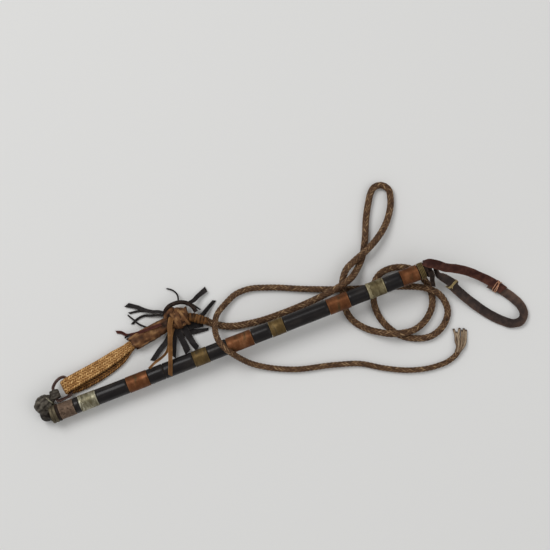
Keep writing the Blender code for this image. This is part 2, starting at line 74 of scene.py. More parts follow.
# ---------------------------------------------------------------- stock
STOCK_TILT = math.radians(2.19)
STOCK_TIP_HEIGHT = 15.6
SLEEVE_BORE = 7.5
CORE_RADIUS, CORE_START, CORE_END = 7.2, -16.0, 483.9   # its tip end is hidden in the knob
CORE_CHAMFER = 0.8
LEATHER_RADIUS, METAL_RADIUS = 9.9, 10.25
BAND_STEPS = 96                     # points round a band
BANDS_START, BAND_GAP = -20.9, 0.3

BAND_KINDS = {                      # slot and radius
    "tip_brass_ring": ("brass", 11.3),
    "tip_leather_ring": ("stock_leather", 11.0),
    "tip_copper_band": ("copper", METAL_RADIUS),
    "leather_sleeve": ("stock_leather", LEATHER_RADIUS),
    "copper_band": ("copper", METAL_RADIUS),
    "brass_band": ("brass", METAL_RADIUS),
    "nickel_band": ("nickel", METAL_RADIUS),
}
BANDS = (                           # from the tip to the butt: kind, where it ends
    ("tip_brass_ring", -13.0), ("tip_leather_ring", -9.4), ("tip_copper_band", 10.0),
    ("leather_sleeve", 17.2), ("nickel_band", 40.2), ("leather_sleeve", 80.6), ("copper_band", 108.2),
    ("leather_sleeve", 128.8), ("leather_sleeve", 168.1), ("brass_band", 187.2),
    ("leather_sleeve", 213.4), ("copper_band", 246.2), ("leather_sleeve", 269.9), ("brass_band", 288.3),
    ("leather_sleeve", 346.7), ("copper_band", 374.5), ("leather_sleeve", 399.5),
    ("nickel_band", 422.1), ("leather_sleeve", 444.1), ("copper_band", 466.9),
)
DULL_FINISH = {"tip_copper_band": "copper_tarnished", "tip_brass_ring": "brass_tarnished",
               "nickel_band_2": "nickel_tarnished", "tip_leather_ring": "dark_leather"}
METAL_RIM = ((0.0, 0.35), (0.08, 0.1), (0.3, -0.1), (0.7, -0.14), (1.1, -0.02), (1.5, 0.03))
LEATHER_RIM = ((0.0, 0.9), (0.15, 0.45), (0.5, 0.16), (1.2, 0.0))   # inset from the end, drop
LAP_ANGLE, LAP_SPAN, LAP_STEP = 4.15, 0.5, 0.22     # seam of a wrapped band, under the stock

WIRE_START, WIRE_PITCH, WIRE_TURNS, WIRE_RADIUS, WIRE_HELIX = 468.3, 1.75, 4, 0.58, 10.3
COLLAR_START, COLLAR_END, COLLAR_RADIUS, COLLAR_ROLL = 476.2, 484.0, 10.6, 1.5
BUTT_TAIL = ((480.3, -5.8, 44.4), (480.3, -9.9, 41.8), (480.3, -12.3, 37.5), (480.2, -13.6, 32.0),
             (479.8, -16.6, 26.4), (479.2, -22.4, 23.0))

HEAD_LOBE, HEAD_AXIS = (-24.8, 15.6, 13.4), (-0.84, -0.54, 0.0)  # the pleated lobe beside the eye
HEAD_CAP = (-25.2, 3.2, 12.6)       # the smaller lobe over the stock's tip
HEAD_NECK = (-17.4, 18.0, 14.4)     # where the lobe is gathered into the eye
HEAD_PLUG_AT = -18.5                # along the stock: it closes the tip ring
HEAD_WIRE, HEAD_WIRE_SIDE, HEAD_WIRE_UP, HEAD_WIRE_RUN = 0.42, 7.9, 9.2, 1.3    # round the neck
EYE_CENTRE, EYE_LENGTH, EYE_RADIUS, EYE_BORE = (-7.6, 22.0, 16.0), 11.6, 6.2, 3.4

# ---------------------------------------------------------------- thong
THONG_RADIUS = 4.5
THONG_TAPER = ((0.0, 1.08), (0.05, 1.0), (0.55, 0.98), (1.0, 0.8))
THONG_SAMPLES = 880
PLAIT_STRANDS = 8                   # in each direction
PLAIT_TURN = 40.0                   # length of one turn of a strand (mm)
THONG_ROUTE = (
    (197.2, 42.8, 9), (206, 35.5, 7.4), (220, 26.5, 5.2), (252, 18.5, 5), (294, 16, 5.2), (332, 17, 6.6),
    (354, 18, 15), (366, 19, 22), (377, 21, 24), (388, 25, 19), (400, 34, 9.5), (411, 45, 5),
    (423, 65, 5), (435, 91, 5), (446, 110, 5), (451.5, 118, 5), (459, 124, 5), (469, 123, 5),
    (475, 115, 5), (473, 103, 5), (459, 79, 6.5), (438, 61, 12), (419, 51, 14.5), (400, 44, 14.5),
    (387, 38, 14.3), (377, 26, 14.3), (372, 12, 13.2), (368, -4, 9), (370, -21, 5.5),
    (383, -40, 7.5), (397, -51, 12.5), (409, -58, 14.8), (423, -62, 14), (440, -63, 7.5),
    (458, -56, 5), (471, -43, 5), (476, -29, 5), (475, -11, 5), (465, 9, 5), (452, 17, 5),
    (438, 20, 5.5), (425, 18, 9), (414, 10, 13.4), (408, -1, 14), (404, -14, 8.5), (404, -31, 5),
    (410, -49, 5), (421, -64, 5), (437, -74, 5), (455, -78, 5), (475, -71, 5), (487, -56, 5),
    (487, -41, 9), (481, -29, 13.5), (473, -22, 14.4), (463, -15, 10), (451, -9, 5), (424, 1, 4.7),
    (383, 14, 4.7), (331, 34, 4.7), (287, 53, 4.7), (264, 60, 4.7), (247, 60, 4.9), (230, 53, 6.5),
    (215, 43, 12.5), (208, 31, 19.5), (205, 18, 29), (206, 6, 37), (210, -4, 39), (215, -11, 34.5),
    (222, -19, 23), (234, -30, 10.4), (251, -41, 5.6), (278, -54, 4.6), (330, -68, 4.3), (360, -78, 4.2),
    (386, -94, 4.1), (415, -108, 4), (445, -115, 3.9), (468, -114, 3.8), (479, -109, 3.8),
    (484, -103, 3.8),
)
FRAY_ACROSS, FRAY_ALONG = Vector((0.933, -0.361, 0.0)), Vector((0.361, 0.933, 0.0))
FRAY = (                            # hairs of each strand: across, along and above the thong's end
    (((-4.2, -7, 0.6), (-3.4, 0, 0.2), (-4.0, 7, -0.8), (-5.0, 14, -1.4), (-7.4, 22.6, -2.0)),
     ((-3.0, -7.5, 2.2), (-1.6, 0, 2.0), (-1.6, 8, 0.9), (-2.2, 14, -0.4), (-3.6, 18.4, -1.8))),
    (((-2.8, -7.5, -1.2), (0.3, 0, -0.9), (0.9, 8, -1.4), (-0.2, 15, -1.6), (0.8, 23.6, -2.0)),),
    (((-1.4, -8, 2.4), (1.9, 0, 1.9), (3.4, 8, 0.9), (2.8, 15, 0.0), (3.6, 20.6, -1.2)),
     ((-0.2, -7, 0.4), (3.8, 0, -0.4), (5.9, 8, -1.6), (5.2, 15, -1.8), (6.0, 23.2, -2.0))),
    (((0.4, -6, 1.2), (5.2, 1, 0.6), (8.2, 8, -0.8), (7.9, 14, -1.4), (8.8, 21.4, -2.0)),),
)

# ---------------------------------------------------------------- lash
LACE_OFFSET, LACE_RADIUS = 0.92, 1.05       # the ring's two laces, side by side
RING_ROUTE = (
    (-7.6, 18.5, 16), (-7.6, 26, 16), (-7.2, 30.5, 15.8), (-4.5, 34.2, 14.5), (0, 37.8, 12.2),
    (5, 39.8, 9.6), (9.5, 39.4, 7.8), (11.6, 36.2, 7.2), (11.8, 28, 7.2), (11.6, 20, 7.2),
    (10.4, 16.4, 7.6), (7, 14.6, 9.2), (2, 14, 11.8), (-3, 13.2, 14.4), (-6.4, 13.3, 15.7),
)
KEEPER_ROUTE = (
    (114, 49, 5.6), (104, 46.6, 5.7), (88, 38.2, 3.6), (60, 29.2, 2.5), (30, 24.8, 2.5),
    (12, 25, 2.5), (6.6, 26.2, 3.9), (4.8, 26.9, 7.4), (6.6, 27.4, 11), (12, 28.6, 12.6),
    (20, 30, 12.2), (34, 32.4, 10), (60, 36.8, 8.8), (88, 43, 9.2), (104, 47.3, 9.8),
    (114, 49, 10),
)
KEEPER_WIDTHS = ((0.0, 11.4), (0.09, 11.4), (0.16, 15.6), (0.4, 17.6), (0.6, 17.6), (0.84, 15.6),
                 (0.91, 11.4), (1.0, 11.4))
KEEPER_THICK, KEEPER_ACROSS = 3.8, Vector((-0.12, 0.99, 0.0))
KEEPER_STEPS = 8                    # points across a plaited column
KEEPER_COLUMNS, KEEPER_STITCH = 12, 3.5     # plaited columns round the strap, length of a stitch

SLEEVE_STATIONS = (                 # x, middle y, half-width across and up
    (96, 46.6, 9.5, 7.1), (103, 47.6, 9.8, 7.4), (114, 49.2, 10.4, 7.6), (126, 51.2, 10.2, 7.6),
    (138, 53.0, 9.9, 7.6), (148, 54.4, 9.3, 7.8), (154, 55.4, 8.4, 7.9), (161, 56.2, 6.4, 6.6),
)
SLEEVE_WALL, SLEEVE_TORN, SLEEVE_END = 1.7, 103.5, 160.5    # torn end and knot end along X
SLEEVE_DARK_FROM, SLEEVE_DARK_OVER = 136, 20                # it darkens towards the knot
KNOT_CENTRE, KNOT_HALF = Vector((168.5, 57.0, 9.0)), (14.0, 12.6, 8.6)
KNOT_SIDE_LOBE = (160.6, 65.6, 9.0)     # gathered leather beside the core, under the arch
KNOT_FOLDS = (                      # where the band crosses the core, its lean, width and tone
    (158.0, 0.16, 5.6, 0.36), (163.4, -0.20, 5.0, 0.58), (168.4, 0.10, 6.6, 0.50),
    (174.2, -0.34, 5.4, 0.68), (178.6, 0.22, 4.6, 0.46),
)
KNOT_ARCH = ((153.4, 66.4, 7.4), (157, 71.4, 11), (163, 74.6, 13.6), (171, 75.2, 14.4), (180, 73.4, 14),
             (187.2, 68.4, 12.4), (190.8, 62.4, 10.6), (192.0, 56.4, 9.4))
KNOT_WRAP = ((181.0, 53.4, 9.8), (185.4, 51.4, 9.6), (190.0, 48.2, 9.4), (196.2, 43.6, 9.1),
             (201.5, 39.6, 8.4))

STRIPS = (                          # route out of the knot or the sleeve, width at root and at tip
    (((158.5, 65, 12), (153.8, 69.6, 9.4), (148.5, 73.5, 6.5), (141, 76.5, 6), (134, 81, 5),
      (125, 89, 3), (113.5, 97, 1.6)), 3.6, 6.2),
    (((142, 75, 4.6), (134, 80, 2.8), (126.5, 83.6, 1.6), (121, 84.9, 1.5), (112.5, 86, 1.2)), 2.8, 2.6),
    (((153.5, 66, 7), (146, 70.4, 4.6), (137.5, 72.9, 3.2), (130, 76, 2.4), (119, 75, 1.6),
      (111.5, 71.6, 1.2)), 3.0, 3.0),
    (((132, 57, 13.5), (127.6, 59.8, 11.6), (124, 63.2, 9), (119.5, 68, 7.6), (115, 76.2, 5.2),
      (110.5, 84, 4.2)), 2.8, 2.0),
    (((146, 56.4, 17.2), (134, 56.6, 16.9), (120, 56.8, 15.6), (107.5, 58.6, 9), (99.6, 61.6, 2.6),
      (95.5, 66.5, 2), (89.5, 69.5, 1.4)), 4.0, 3.8),
    (((175.2, 72.8, 14.4), (176.6, 78.6, 11), (177.6, 84, 7.5), (176.4, 89.5, 5), (172.6, 94.8, 3.2),
      (167.8, 98.2, 2)), 2.4, 1.8),
    (((183.4, 68.4, 13.4), (188.4, 69.6, 12.2), (193.4, 70.6, 10), (201, 74.4, 6),
      (214, 79.4, 2.6)), 4.2, 7.6),
    (((191, 47.4, 9.6), (198.4, 50.2, 8.5), (207, 55.6, 5), (218.6, 62.4, 1.8)), 6.6, 4.2),
    (((160, 50, 6), (153, 43.4, 4.4), (145.5, 36.5, 3.2), (131, 27.4, 2.2),
      (119.6, 19.4, 1.4)), 7.2, 6.8),
    (((158, 47, 10), (152.4, 39, 8.4), (146.5, 30.4, 9), (139, 20.6, 18), (132, 16.4, 25),
      (121, 12.4, 30.6), (113.4, 8.6, 32.2)), 3.4, 3.4),
    (((160.8, 60, 17.4), (156, 51.6, 20), (151.2, 38, 21.6), (147, 26, 26), (143.2, 14, 32),
      (138.6, 1.5, 33.2), (134.6, -9, 33.4)), 6.2, 5.0),
    (((164, 50, 5.6), (163.2, 41, 5.2), (163.2, 31.6, 5.6), (164, 23, 6.6), (164.6, 12.6, 7)), 7.4, 8.4),
    (((170, 50, 5.6), (171.4, 40, 5.2), (173, 29, 5.6), (174.6, 21, 6.6), (177.6, 12.4, 7)), 9.0, 7.0),
    (((160, 50, 6.4), (157.6, 43.4, 6.4), (154.8, 36.2, 6.6), (150, 24.6, 5.6),
      (145.6, 14.4, 4.6)), 8.4, 6.2),
    (((158, 46, 3), (165, 40, 1.9), (181, 34.8, 1.9), (198.6, 31.4, 1.1)), 12.0, 3.2),
)
STRIP_LEATHERS = {"tassel_strip_5": "red_leather", "tassel_strip_10": "tan_leather",
                  "tassel_strip_11": "tan_leather"}     # the others are tassel_leather
SHORT_STRIPS = {                    # extra pieces, told in the same way
    "tassel_strip_short_1": (((190.6, 66.5, 12.4), (194.5, 61.8, 9.0), (198.0, 57.4, 6.0)), 2.6, 1.9),
    "tassel_strip_short_2": (((109.5, 58.4, 8.6), (103.0, 59.4, 6.0), (97.0, 58.6, 2.6)), 3.0, 2.2),
    "tassel_flap": (((158, 49, 3.6), (170, 45.5, 3.4), (182, 42.5, 3.3), (195, 38.6, 2.9)), 15.0, 6.0),
}

# ---------------------------------------------------------------- wrist strap
STRAP_THICK = 2.2
STRAP_FACE = 11.4                   # width of the worn leather between its rounded edges
STRAP_FOLD = ((474.6, 7.6, 44.8),)  # the upper length folds down over the butt
STRAP_ROOT_UPPER = ((478.5, 5.6, 46.8), (484.5, 2.8, 46.4), (490.6, -0.4, 41.4), (495.4, -3.3, 37.2))
STRAP_UPPER = ((499.2, -6.1, 35.0), (511, -11.5, 29.6), (526, -20, 22.4), (539, -30.6, 15.6),
               (550, -41, 9.8), (557.5, -50, 7.2), (562, -57.4, 6.2))
STRAP_OUTER = ((548.5, -43.4, 5.6), (556, -51.4, 4.2), (563, -59.6, 3.0), (570.6, -71.5, 2.4),
               (575.4, -84, 2.6), (574.4, -94, 4.0), (567.0, -101.2, 4.6), (557.5, -100.4, 3.4),
               (546, -91.6, 2.0), (535, -79.6, 2.2), (522.5, -62.5, 5.0), (512, -46.2, 9.8),
               (504.6, -33.6, 15.6), (499.8, -25.2, 19.6))
STRAP_TAB = ((507.6, -32.4, 18.6), (503.6, -27.6, 21.8), (497.2, -20.4, 26.8), (491.8, -14.8, 30.8))
STRAP_ROOT_LOWER = ((489.0, -11.9, 32.9), (488.2, -6.0, 33.6), (488.1, 1.6, 34.0))
COPPER_BINDING_AT, BRASS_BINDING_AT = (556, -49.5, 5.8), (502.6, -27.8, 20.6)

# ---------------------------------------------------------------- looks
# Linear colours, read at the tone from dark hollows in painted shade to light worn edges
LEATHER_SHADE_AND_WEAR = {
    "lace_leather": ((0.008, 0.004, 0.0035), (0.06, 0.032, 0.027), (0.19, 0.125, 0.105)),
    "dark_leather": ((0.003, 0.002, 0.0018), (0.018, 0.011, 0.0085), (0.075, 0.044, 0.03)),
    "head_leather": ((0.008, 0.0055, 0.0045), (0.052, 0.044, 0.035), (0.17, 0.15, 0.12)),
    "sleeve_leather": ((0.01, 0.004, 0.002), (0.118, 0.05, 0.02), (0.37, 0.205, 0.085)),
    "tan_leather": ((0.022, 0.009, 0.003), (0.15, 0.066, 0.02), (0.36, 0.195, 0.07)),
    "red_leather": ((0.012, 0.003, 0.002), (0.066, 0.017, 0.011), (0.16, 0.062, 0.044)),
    "tassel_leather": ((0.002, 0.0016, 0.0016), (0.0145, 0.0115, 0.0115), (0.06, 0.05, 0.046)),
    "strap_red_brown": ((0.007, 0.002, 0.0015), (0.038, 0.011, 0.008), (0.12, 0.046, 0.03)),
    "strap_brown": ((0.006, 0.004, 0.0037), (0.036, 0.025, 0.022), (0.12, 0.072, 0.052)),
}
LEATHER_FINISH = {"roughness": (0.42, 0.68), "grain": (0.55, 0.06), "wrinkle": (2.6, 0.16)}
WIRE_FINISH = {"roughness": (0.3, 0.5), "blotch": (3.0, 0.2), "grain": (0.3, 0.02),
               "wrinkle": (1.0, 0.04)}
ROUND_STOCK = (1.0, 0.35, 0.35)     # marks drawn out round the stock
FINISHES = {
    "stock_leather": dict(
        stops=((0.0015, 0.0012, 0.0012), (0.0095, 0.0075, 0.0075), (0.042, 0.034, 0.027)),
        roughness=(0.24, 0.42), coat=0.12, specular=0.14, blotch=(9.0, 0.3), grain=(0.9, 0.03),
        wrinkle=(5.0, 0.1), stretch=(0.35, 1.0, 1.0)),
    "copper": dict(
        stops=((0.024, 0.01, 0.005), (0.136, 0.05, 0.019), (0.3, 0.136, 0.062)),
        roughness=(0.36, 0.56), metallic=0.6, blotch=(7.0, 0.4), grain=(0.7, 0.04), wrinkle=(4.0, 0.12),
        stretch=ROUND_STOCK, patina=((0.062, 0.04, 0.017), 10.0, 0.06)),
    "copper_tarnished": dict(
        stops=((0.026, 0.016, 0.011), (0.16, 0.106, 0.074), (0.32, 0.24, 0.175)),
        roughness=(0.5, 0.68), metallic=0.45, blotch=(3.0, 0.45), grain=(0.9, 0.08),
        wrinkle=(2.4, 0.12), patina=((0.03, 0.02, 0.014), 2.6, 0.06)),
    "copper_wire": dict(
        stops=((0.08, 0.032, 0.016), (0.42, 0.2, 0.115), (0.72, 0.44, 0.3)),
        metallic=0.8, **WIRE_FINISH),
    "brass": dict(
        stops=((0.024, 0.015, 0.006), (0.112, 0.072, 0.027), (0.29, 0.205, 0.09)),
        roughness=(0.38, 0.58), metallic=0.6, blotch=(6.0, 0.42), grain=(0.7, 0.04),
        wrinkle=(4.0, 0.12), stretch=ROUND_STOCK, patina=((0.05, 0.038, 0.024), 9.0, 0.1)),
    "brass_tarnished": dict(
        stops=((0.026, 0.019, 0.012), (0.12, 0.098, 0.062), (0.3, 0.26, 0.18)),
        roughness=(0.45, 0.62), metallic=0.5, blotch=(3.0, 0.4), grain=(0.7, 0.05),
        wrinkle=(3.0, 0.14)),
    "brass_wire": dict(
        stops=((0.05, 0.034, 0.014), (0.28, 0.205, 0.085), (0.62, 0.5, 0.27)),
        metallic=0.7, **WIRE_FINISH),
    "nickel": dict(
        stops=((0.055, 0.048, 0.028), (0.225, 0.205, 0.135), (0.52, 0.5, 0.39)),
        roughness=(0.34, 0.55), metallic=0.55, blotch=(4.0, 0.55), grain=(0.7, 0.06),
        wrinkle=(3.0, 0.16), stretch=ROUND_STOCK, patina=((0.12, 0.104, 0.058), 5.0, 0.12)),
    "nickel_tarnished": dict(
        stops=((0.036, 0.028, 0.013), (0.15, 0.122, 0.064), (0.38, 0.33, 0.2)),
        roughness=(0.36, 0.56), metallic=0.55, blotch=(5.0, 0.45), grain=(0.7, 0.05),
        wrinkle=(3.0, 0.14), stretch=ROUND_STOCK, patina=((0.08, 0.06, 0.028), 6.0, 0.1)),
    "core_wood": dict(
        stops=((0.1, 0.055, 0.025), (0.24, 0.145, 0.075), (0.36, 0.24, 0.13)),
        roughness=(0.6, 0.8), blotch=(5.0, 0.4), stretch=(0.08, 1.0, 1.0)),
    "butt_wire_seat": dict(stops=LEATHER_SHADE_AND_WEAR["dark_leather"], roughness=(0.5, 0.7), toned=False),
    "rawhide": dict(
        stops=((0.036, 0.012, 0.003), (0.315, 0.145, 0.04), (0.78, 0.5, 0.215)),
        roughness=(0.48, 0.7), blotch=(8.0, 0.16), grain=(0.4, 0.05), wrinkle=(1.6, 0.08)),
    "thong_leather": dict(
        stops=((0.011, 0.0055, 0.003), (0.12, 0.062, 0.031), (0.5, 0.34, 0.18)),
        roughness=(0.4, 0.62), blotch=(6.0, 0.26), grain=(0.45, 0.04), wrinkle=(1.8, 0.06)),
    "thong_frayed": dict(
        stops=((0.014, 0.008, 0.005), (0.16, 0.102, 0.062), (0.45, 0.35, 0.24)),
        roughness=(0.5, 0.7), blotch=(3.0, 0.3), grain=(0.35, 0.05), wrinkle=(1.6, 0.08)),
}


class Shape:
    """Closed skins gathered into one mesh, with a tone at every point."""

    def __init__(self):
        self.points, self.faces, self.tones = [], [], []

    def skin(self, rings, looped=False):
        """Skin closed rings of (layout point, tone); the ends are capped, or the last ring joins the
        first."""
        first, around, last = len(self.points), len(rings[0]), len(rings) - 1
        for ring in rings:
            self.points.extend(point for point, _ in ring)
            self.tones.extend(clamp(tone) for _, tone in ring)
        for i in range(last + looped):
            a, b = first + i * around, first + (i + 1) % (last + 1) * around
            for k in range(around):
                n = (k + 1) % around
                self.faces.append((a + k, a + n, b + n, b + k))
        if not looped:
            end = first + last * around
            self.faces.append(tuple(range(first, first + around)))
            self.faces.append(tuple(reversed(range(end, end + around))))

    def build(self, name, material, sharp):
        """Make the mesh object, faces outward, smooth but for edges sharper than the angle."""
        mesh = bpy.data.meshes.new(name)
        mesh.from_pydata([place(p) for p in self.points], [], self.faces)
        mesh.attributes.new("tone", "FLOAT", "POINT").data.foreach_set("value", self.tones)
        bm = bmesh.new()
        bm.from_mesh(mesh)
        bmesh.ops.recalc_face_normals(bm, faces=bm.faces)
        bm.to_mesh(mesh)
        bm.free()
        mesh.shade_smooth()
        mesh.set_sharp_from_angle(angle=math.radians(sharp))
        mesh.materials.append(material)
        obj = bpy.data.objects.new(name, mesh)
        bpy.context.scene.collection.objects.link(obj)
        return obj


def piece(shape, name, look, body, *nodes, slot=None, sharp=40.0):
    """Build the shape in that look, riding on the body, in place of those CAD nodes.  slot is not
    used, and sharp is the angle of its hard edges."""
    slot = slot or look
    obj = shape.build(name, finishes[look], sharp)
    if body:
        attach(obj, body)
    if nodes:
        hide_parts(*nodes)
    return obj


# ---------------------------------------------------------------- geometry helpers
def place(point):
    """A layout point (mm) in the row frame (m)."""
    return Vector(((point[0] - ORIGIN[0]) * MM, (point[1] - ORIGIN[1]) * MM, point[2] * MM))


def on_stock(x, radius=0.0, angle=0.0):
    """Layout point at that distance and angle round the stock's sloping axis."""
    y, up = radius * math.cos(angle), radius * math.sin(angle)
    c, s = math.cos(STOCK_TILT), math.sin(STOCK_TILT)
    return Vector((x * c - up * s, y, STOCK_TIP_HEIGHT + x * s + up * c))


def clamp(value, low=0.0, high=1.0):
    return max(low, min(high, value))


def ease(value):
    """Smooth step from 0 to 1."""
    t = clamp(value)
    return t * t * (3 - 2 * t)


def read(value, share):
    """A plain value, or what a function gives at that share of the length."""
    return value(share) if callable(value) else value


def rough(x, y, z, size):
    """Smooth noise from about -1 to 1, with lumps of that size (mm)."""
    return noise.noise(Vector((x, y, z)) / size)


def squared(value, power):
    """A sine or cosine pushed outwards, so that a circle turns into a rounded square."""
    return math.copysign(abs(value) ** power, value)


def turn(steps):
    """Angle, cosine and sine at even steps round a circle."""
    for k in range(steps):
        angle = TAU * k / steps
        yield angle, math.cos(angle), math.sin(angle)


def winding(turns, steps):
    """Share of the way and angle at the points of that many open turns."""
    for k in range(turns * steps + 1):
        yield k / (turns * steps), TAU * k / steps


def smooth_path(points, steps=12):
    """Cubic curve through the points, with chord-length tangents."""
    pts = [Vector(p) for p in points]
    spans = [(b - a).length for a, b in zip(pts, pts[1:])]
    slopes = [(b - a) / span for a, b, span in zip(pts, pts[1:], spans)]
    tangents = [slopes[0]]
    for i in range(1, len(spans)):
        before, after = spans[i - 1], spans[i]
        tangents.append((slopes[i - 1] * after + slopes[i] * before) / (before + after))
    tangents.append(slopes[-1])
    out = []
    for i, span in enumerate(spans):
        for k in range(steps):
            t = k / steps
            h00, h10 = (1 + 2 * t) * (1 - t) ** 2, t * (1 - t) ** 2
            h01, h11 = t * t * (3 - 2 * t), t * t * (t - 1)
            out.append(pts[i] * h00 + tangents[i] * h10 * span + pts[i + 1] * h01
                       + tangents[i + 1] * h11 * span)
    out.append(pts[-1])
    return out


def length_of(path):
    return sum((b - a).length for a, b in zip(path, path[1:]))


def even(path, count):
    """Count points evenly spaced along a fine path."""
    at = [0.0]
    for a, b in zip(path, path[1:]):
        at.append(at[-1] + (b - a).length)
    out, i = [], 0
    for k in range(count):
        want = at[-1] * k / (count - 1)
        while i < len(at) - 2 and at[i + 1] < want:
            i += 1
        out.append(path[i].lerp(path[i + 1], clamp((want - at[i]) / max(at[i + 1] - at[i], 1e-9))))
    return out


def route(points, spacing):
    """Evenly spaced points along the smooth curve through the route."""
    fine = smooth_path(points, 24)
    return even(fine, max(int(length_of(fine) / spacing) + 1, 3))


def tangents_of(path):
    last = len(path) - 1
    return [(path[min(i + 1, last)] - path[max(i - 1, 0)]).normalized() for i in range(len(path))]


def station(point, along, side):
    """(point, along, side, up) with the side turned square to the way along."""
    side = (side - along * side.dot(along)).normalized()
    return point, along, side, along.cross(side)


def steered(path, steer):
    """Stations down a path, whose side is steered by steer(share, along)."""
    last = len(path) - 1
    return [station(point, along, steer(i / last, along))
            for i, (point, along) in enumerate(zip(path, tangents_of(path)))]


def level(path):
    """Stations whose side lies level."""
    return steered(path, lambda share, along: UP.cross(along))


def carried(path):
    """Stations whose side is carried along the path without a twist."""
    out = []
    side = UP.cross(tangents_of(path)[0])
    for point, along in zip(path, tangents_of(path)):
        out.append(station(point, along, side))
        side = out[-1][2]
    return out


def lerp_table(table, t):
    """Linear reading of ((t0, v0), (t1, v1), ...)."""
    for (t0, v0), (t1, v1) in zip(table, table[1:]):
        if t <= t1:
            return v0 + (v1 - v0) * (t - t0) / (t1 - t0)
    return table[-1][1]


def tube(shape, stations, radius, around=10, tone=0.5, looped=False):
    """Add a round cord.  radius may be a function of the share of its length, and tone one of the
    station's number and the sine round it."""
    rings, last = [], len(stations) - 1
    for i, (point, _, side, up) in enumerate(stations):
        r = read(radius, i / last)
        rings.append([(point + (side * c + up * s) * r, tone(i, s) if callable(tone) else tone)
                      for _, c, s in turn(around)])
    shape.skin(rings, looped)


STRAP_SPOTS = (-1.0, -0.7, -0.35, 0.0, 0.35, 0.7, 1.0)   # across a strap's face
STRAP_EDGES = (0, 6, 7, 8, 9, 15, 16, 17)                # points of its outline on the edges


def strap_outline(width, thick, crown):
    """Outline of a leather strap as (across, up): crowned faces and rounded edges."""
    inset = width / 2 - thick * 0.22
    face = [(u * inset, thick / 2 * (1 - crown * u * u)) for u in STRAP_SPOTS]
    right = [(width / 2, thick * 0.2), (width / 2, -thick * 0.2)]
    under = [(a, -h) for a, h in reversed(face)]
    return face + right + under + [(-a, -h) for a, h in right]


def strap(shape, stations, width, thick, crown=0.25, cup=0.0, slant=(0.0, 0.0), roll=0.0,
          tone=0.5, wear=0.28, painted_side_shading=0.0, seed=0):
    """Add a leather strap down its stations.  width, tone and roll (radians) may be functions of the
    share of the length, cup lifts the edges (mm), slant cuts the ends askew (mm), wear lightens the
    edges as rubbed leather or, where negative, darkens them as painted shade, and sidewise paints
    light on one of them and shade on the other."""
    rings, last = [], len(stations) - 1
    for i, (point, along, side, up) in enumerate(stations):
        t = i / last
        wide, base, rolled = read(width, t), read(tone, t), read(roll, t)
        c, s = math.cos(rolled), math.sin(rolled)
        side, up = side * c + up * s, up * c - side * s
        skew = slant[0] * (1 - ease(t * 3)) + slant[1] * ease(t * 3 - 2)
        ring = []
        for k, (a, h) in enumerate(strap_outline(wide, thick, crown)):
            u = 2 * a / wide
            spread = 1 + 0.05 * rough(point.x, point.y, seed * 7.3, 5.0)
            wave = 0.22 * rough(point.x + 31 * seed, point.y + a, point.z, 4.0)
            shade = base + 0.16 * rough(point.x + seed * 13, point.y + a, point.z, 7.0) + painted_side_shading * u
            ring.append((point + side * a * spread + up * (h + cup * u * u + wave) + along * skew * u,
                         shade + (wear if k in STRAP_EDGES else 0.0)))
        rings.append(ring)
    shape.skin(rings)


LUMP_AROUND, LUMP_ALONG = 120, 44       # points round a lump and along it
LUMP_BUMP, LUMP_LOWEST = 5.0, 0.1       # size of its bumps, and how low it may reach


def lump(shape, centre, half, tone, axis=(1, 0, 0), pleats=0, depth=0.11, bumps=0.1):
    """Add a rounded leather mass with half-sizes along, across and up, pleated about its axis.
    depth and bumps are the share of its radius that the pleats and the bumps take."""
    axis, centre = Vector(axis).normalized(), Vector(centre)
    side = UP.cross(axis).normalized()
    up = axis.cross(side)
    rings = []
    for i in range(1, LUMP_ALONG):
        latitude = math.pi * i / LUMP_ALONG
        reach = half[0] * math.cos(latitude)
        ring = []
        for angle, c, s in turn(LUMP_AROUND):
            flute = 0.0
            if pleats:
                wander = 0.5 * math.sin(2 * latitude) + 0.9 * rough(3 * c, 3 * s, 2.5 * latitude, 1.6)
                flute = abs(math.cos(pleats * angle / 2 + wander)) ** 0.6 - 0.7
            bump = rough(centre.x + reach, half[1] * c, half[2] * s, LUMP_BUMP)
            bump += 0.4 * rough(reach, half[1] * c, half[2] * s, LUMP_BUMP * 0.4)
            bulge = math.sin(latitude) ** 0.75 * (1 + depth * flute + bumps * bump)
            point = centre - axis * reach + side * half[1] * bulge * c + up * half[2] * bulge * s
            point.z = max(point.z, LUMP_LOWEST)
            # the pleats' valleys and the dips between bumps are darker and their crests lighter: painted
            # shade and painted light
            ring.append((point, tone + 6.0 * depth * flute + 0.35 * bump))
        rings.append(ring)
    shape.skin(rings)


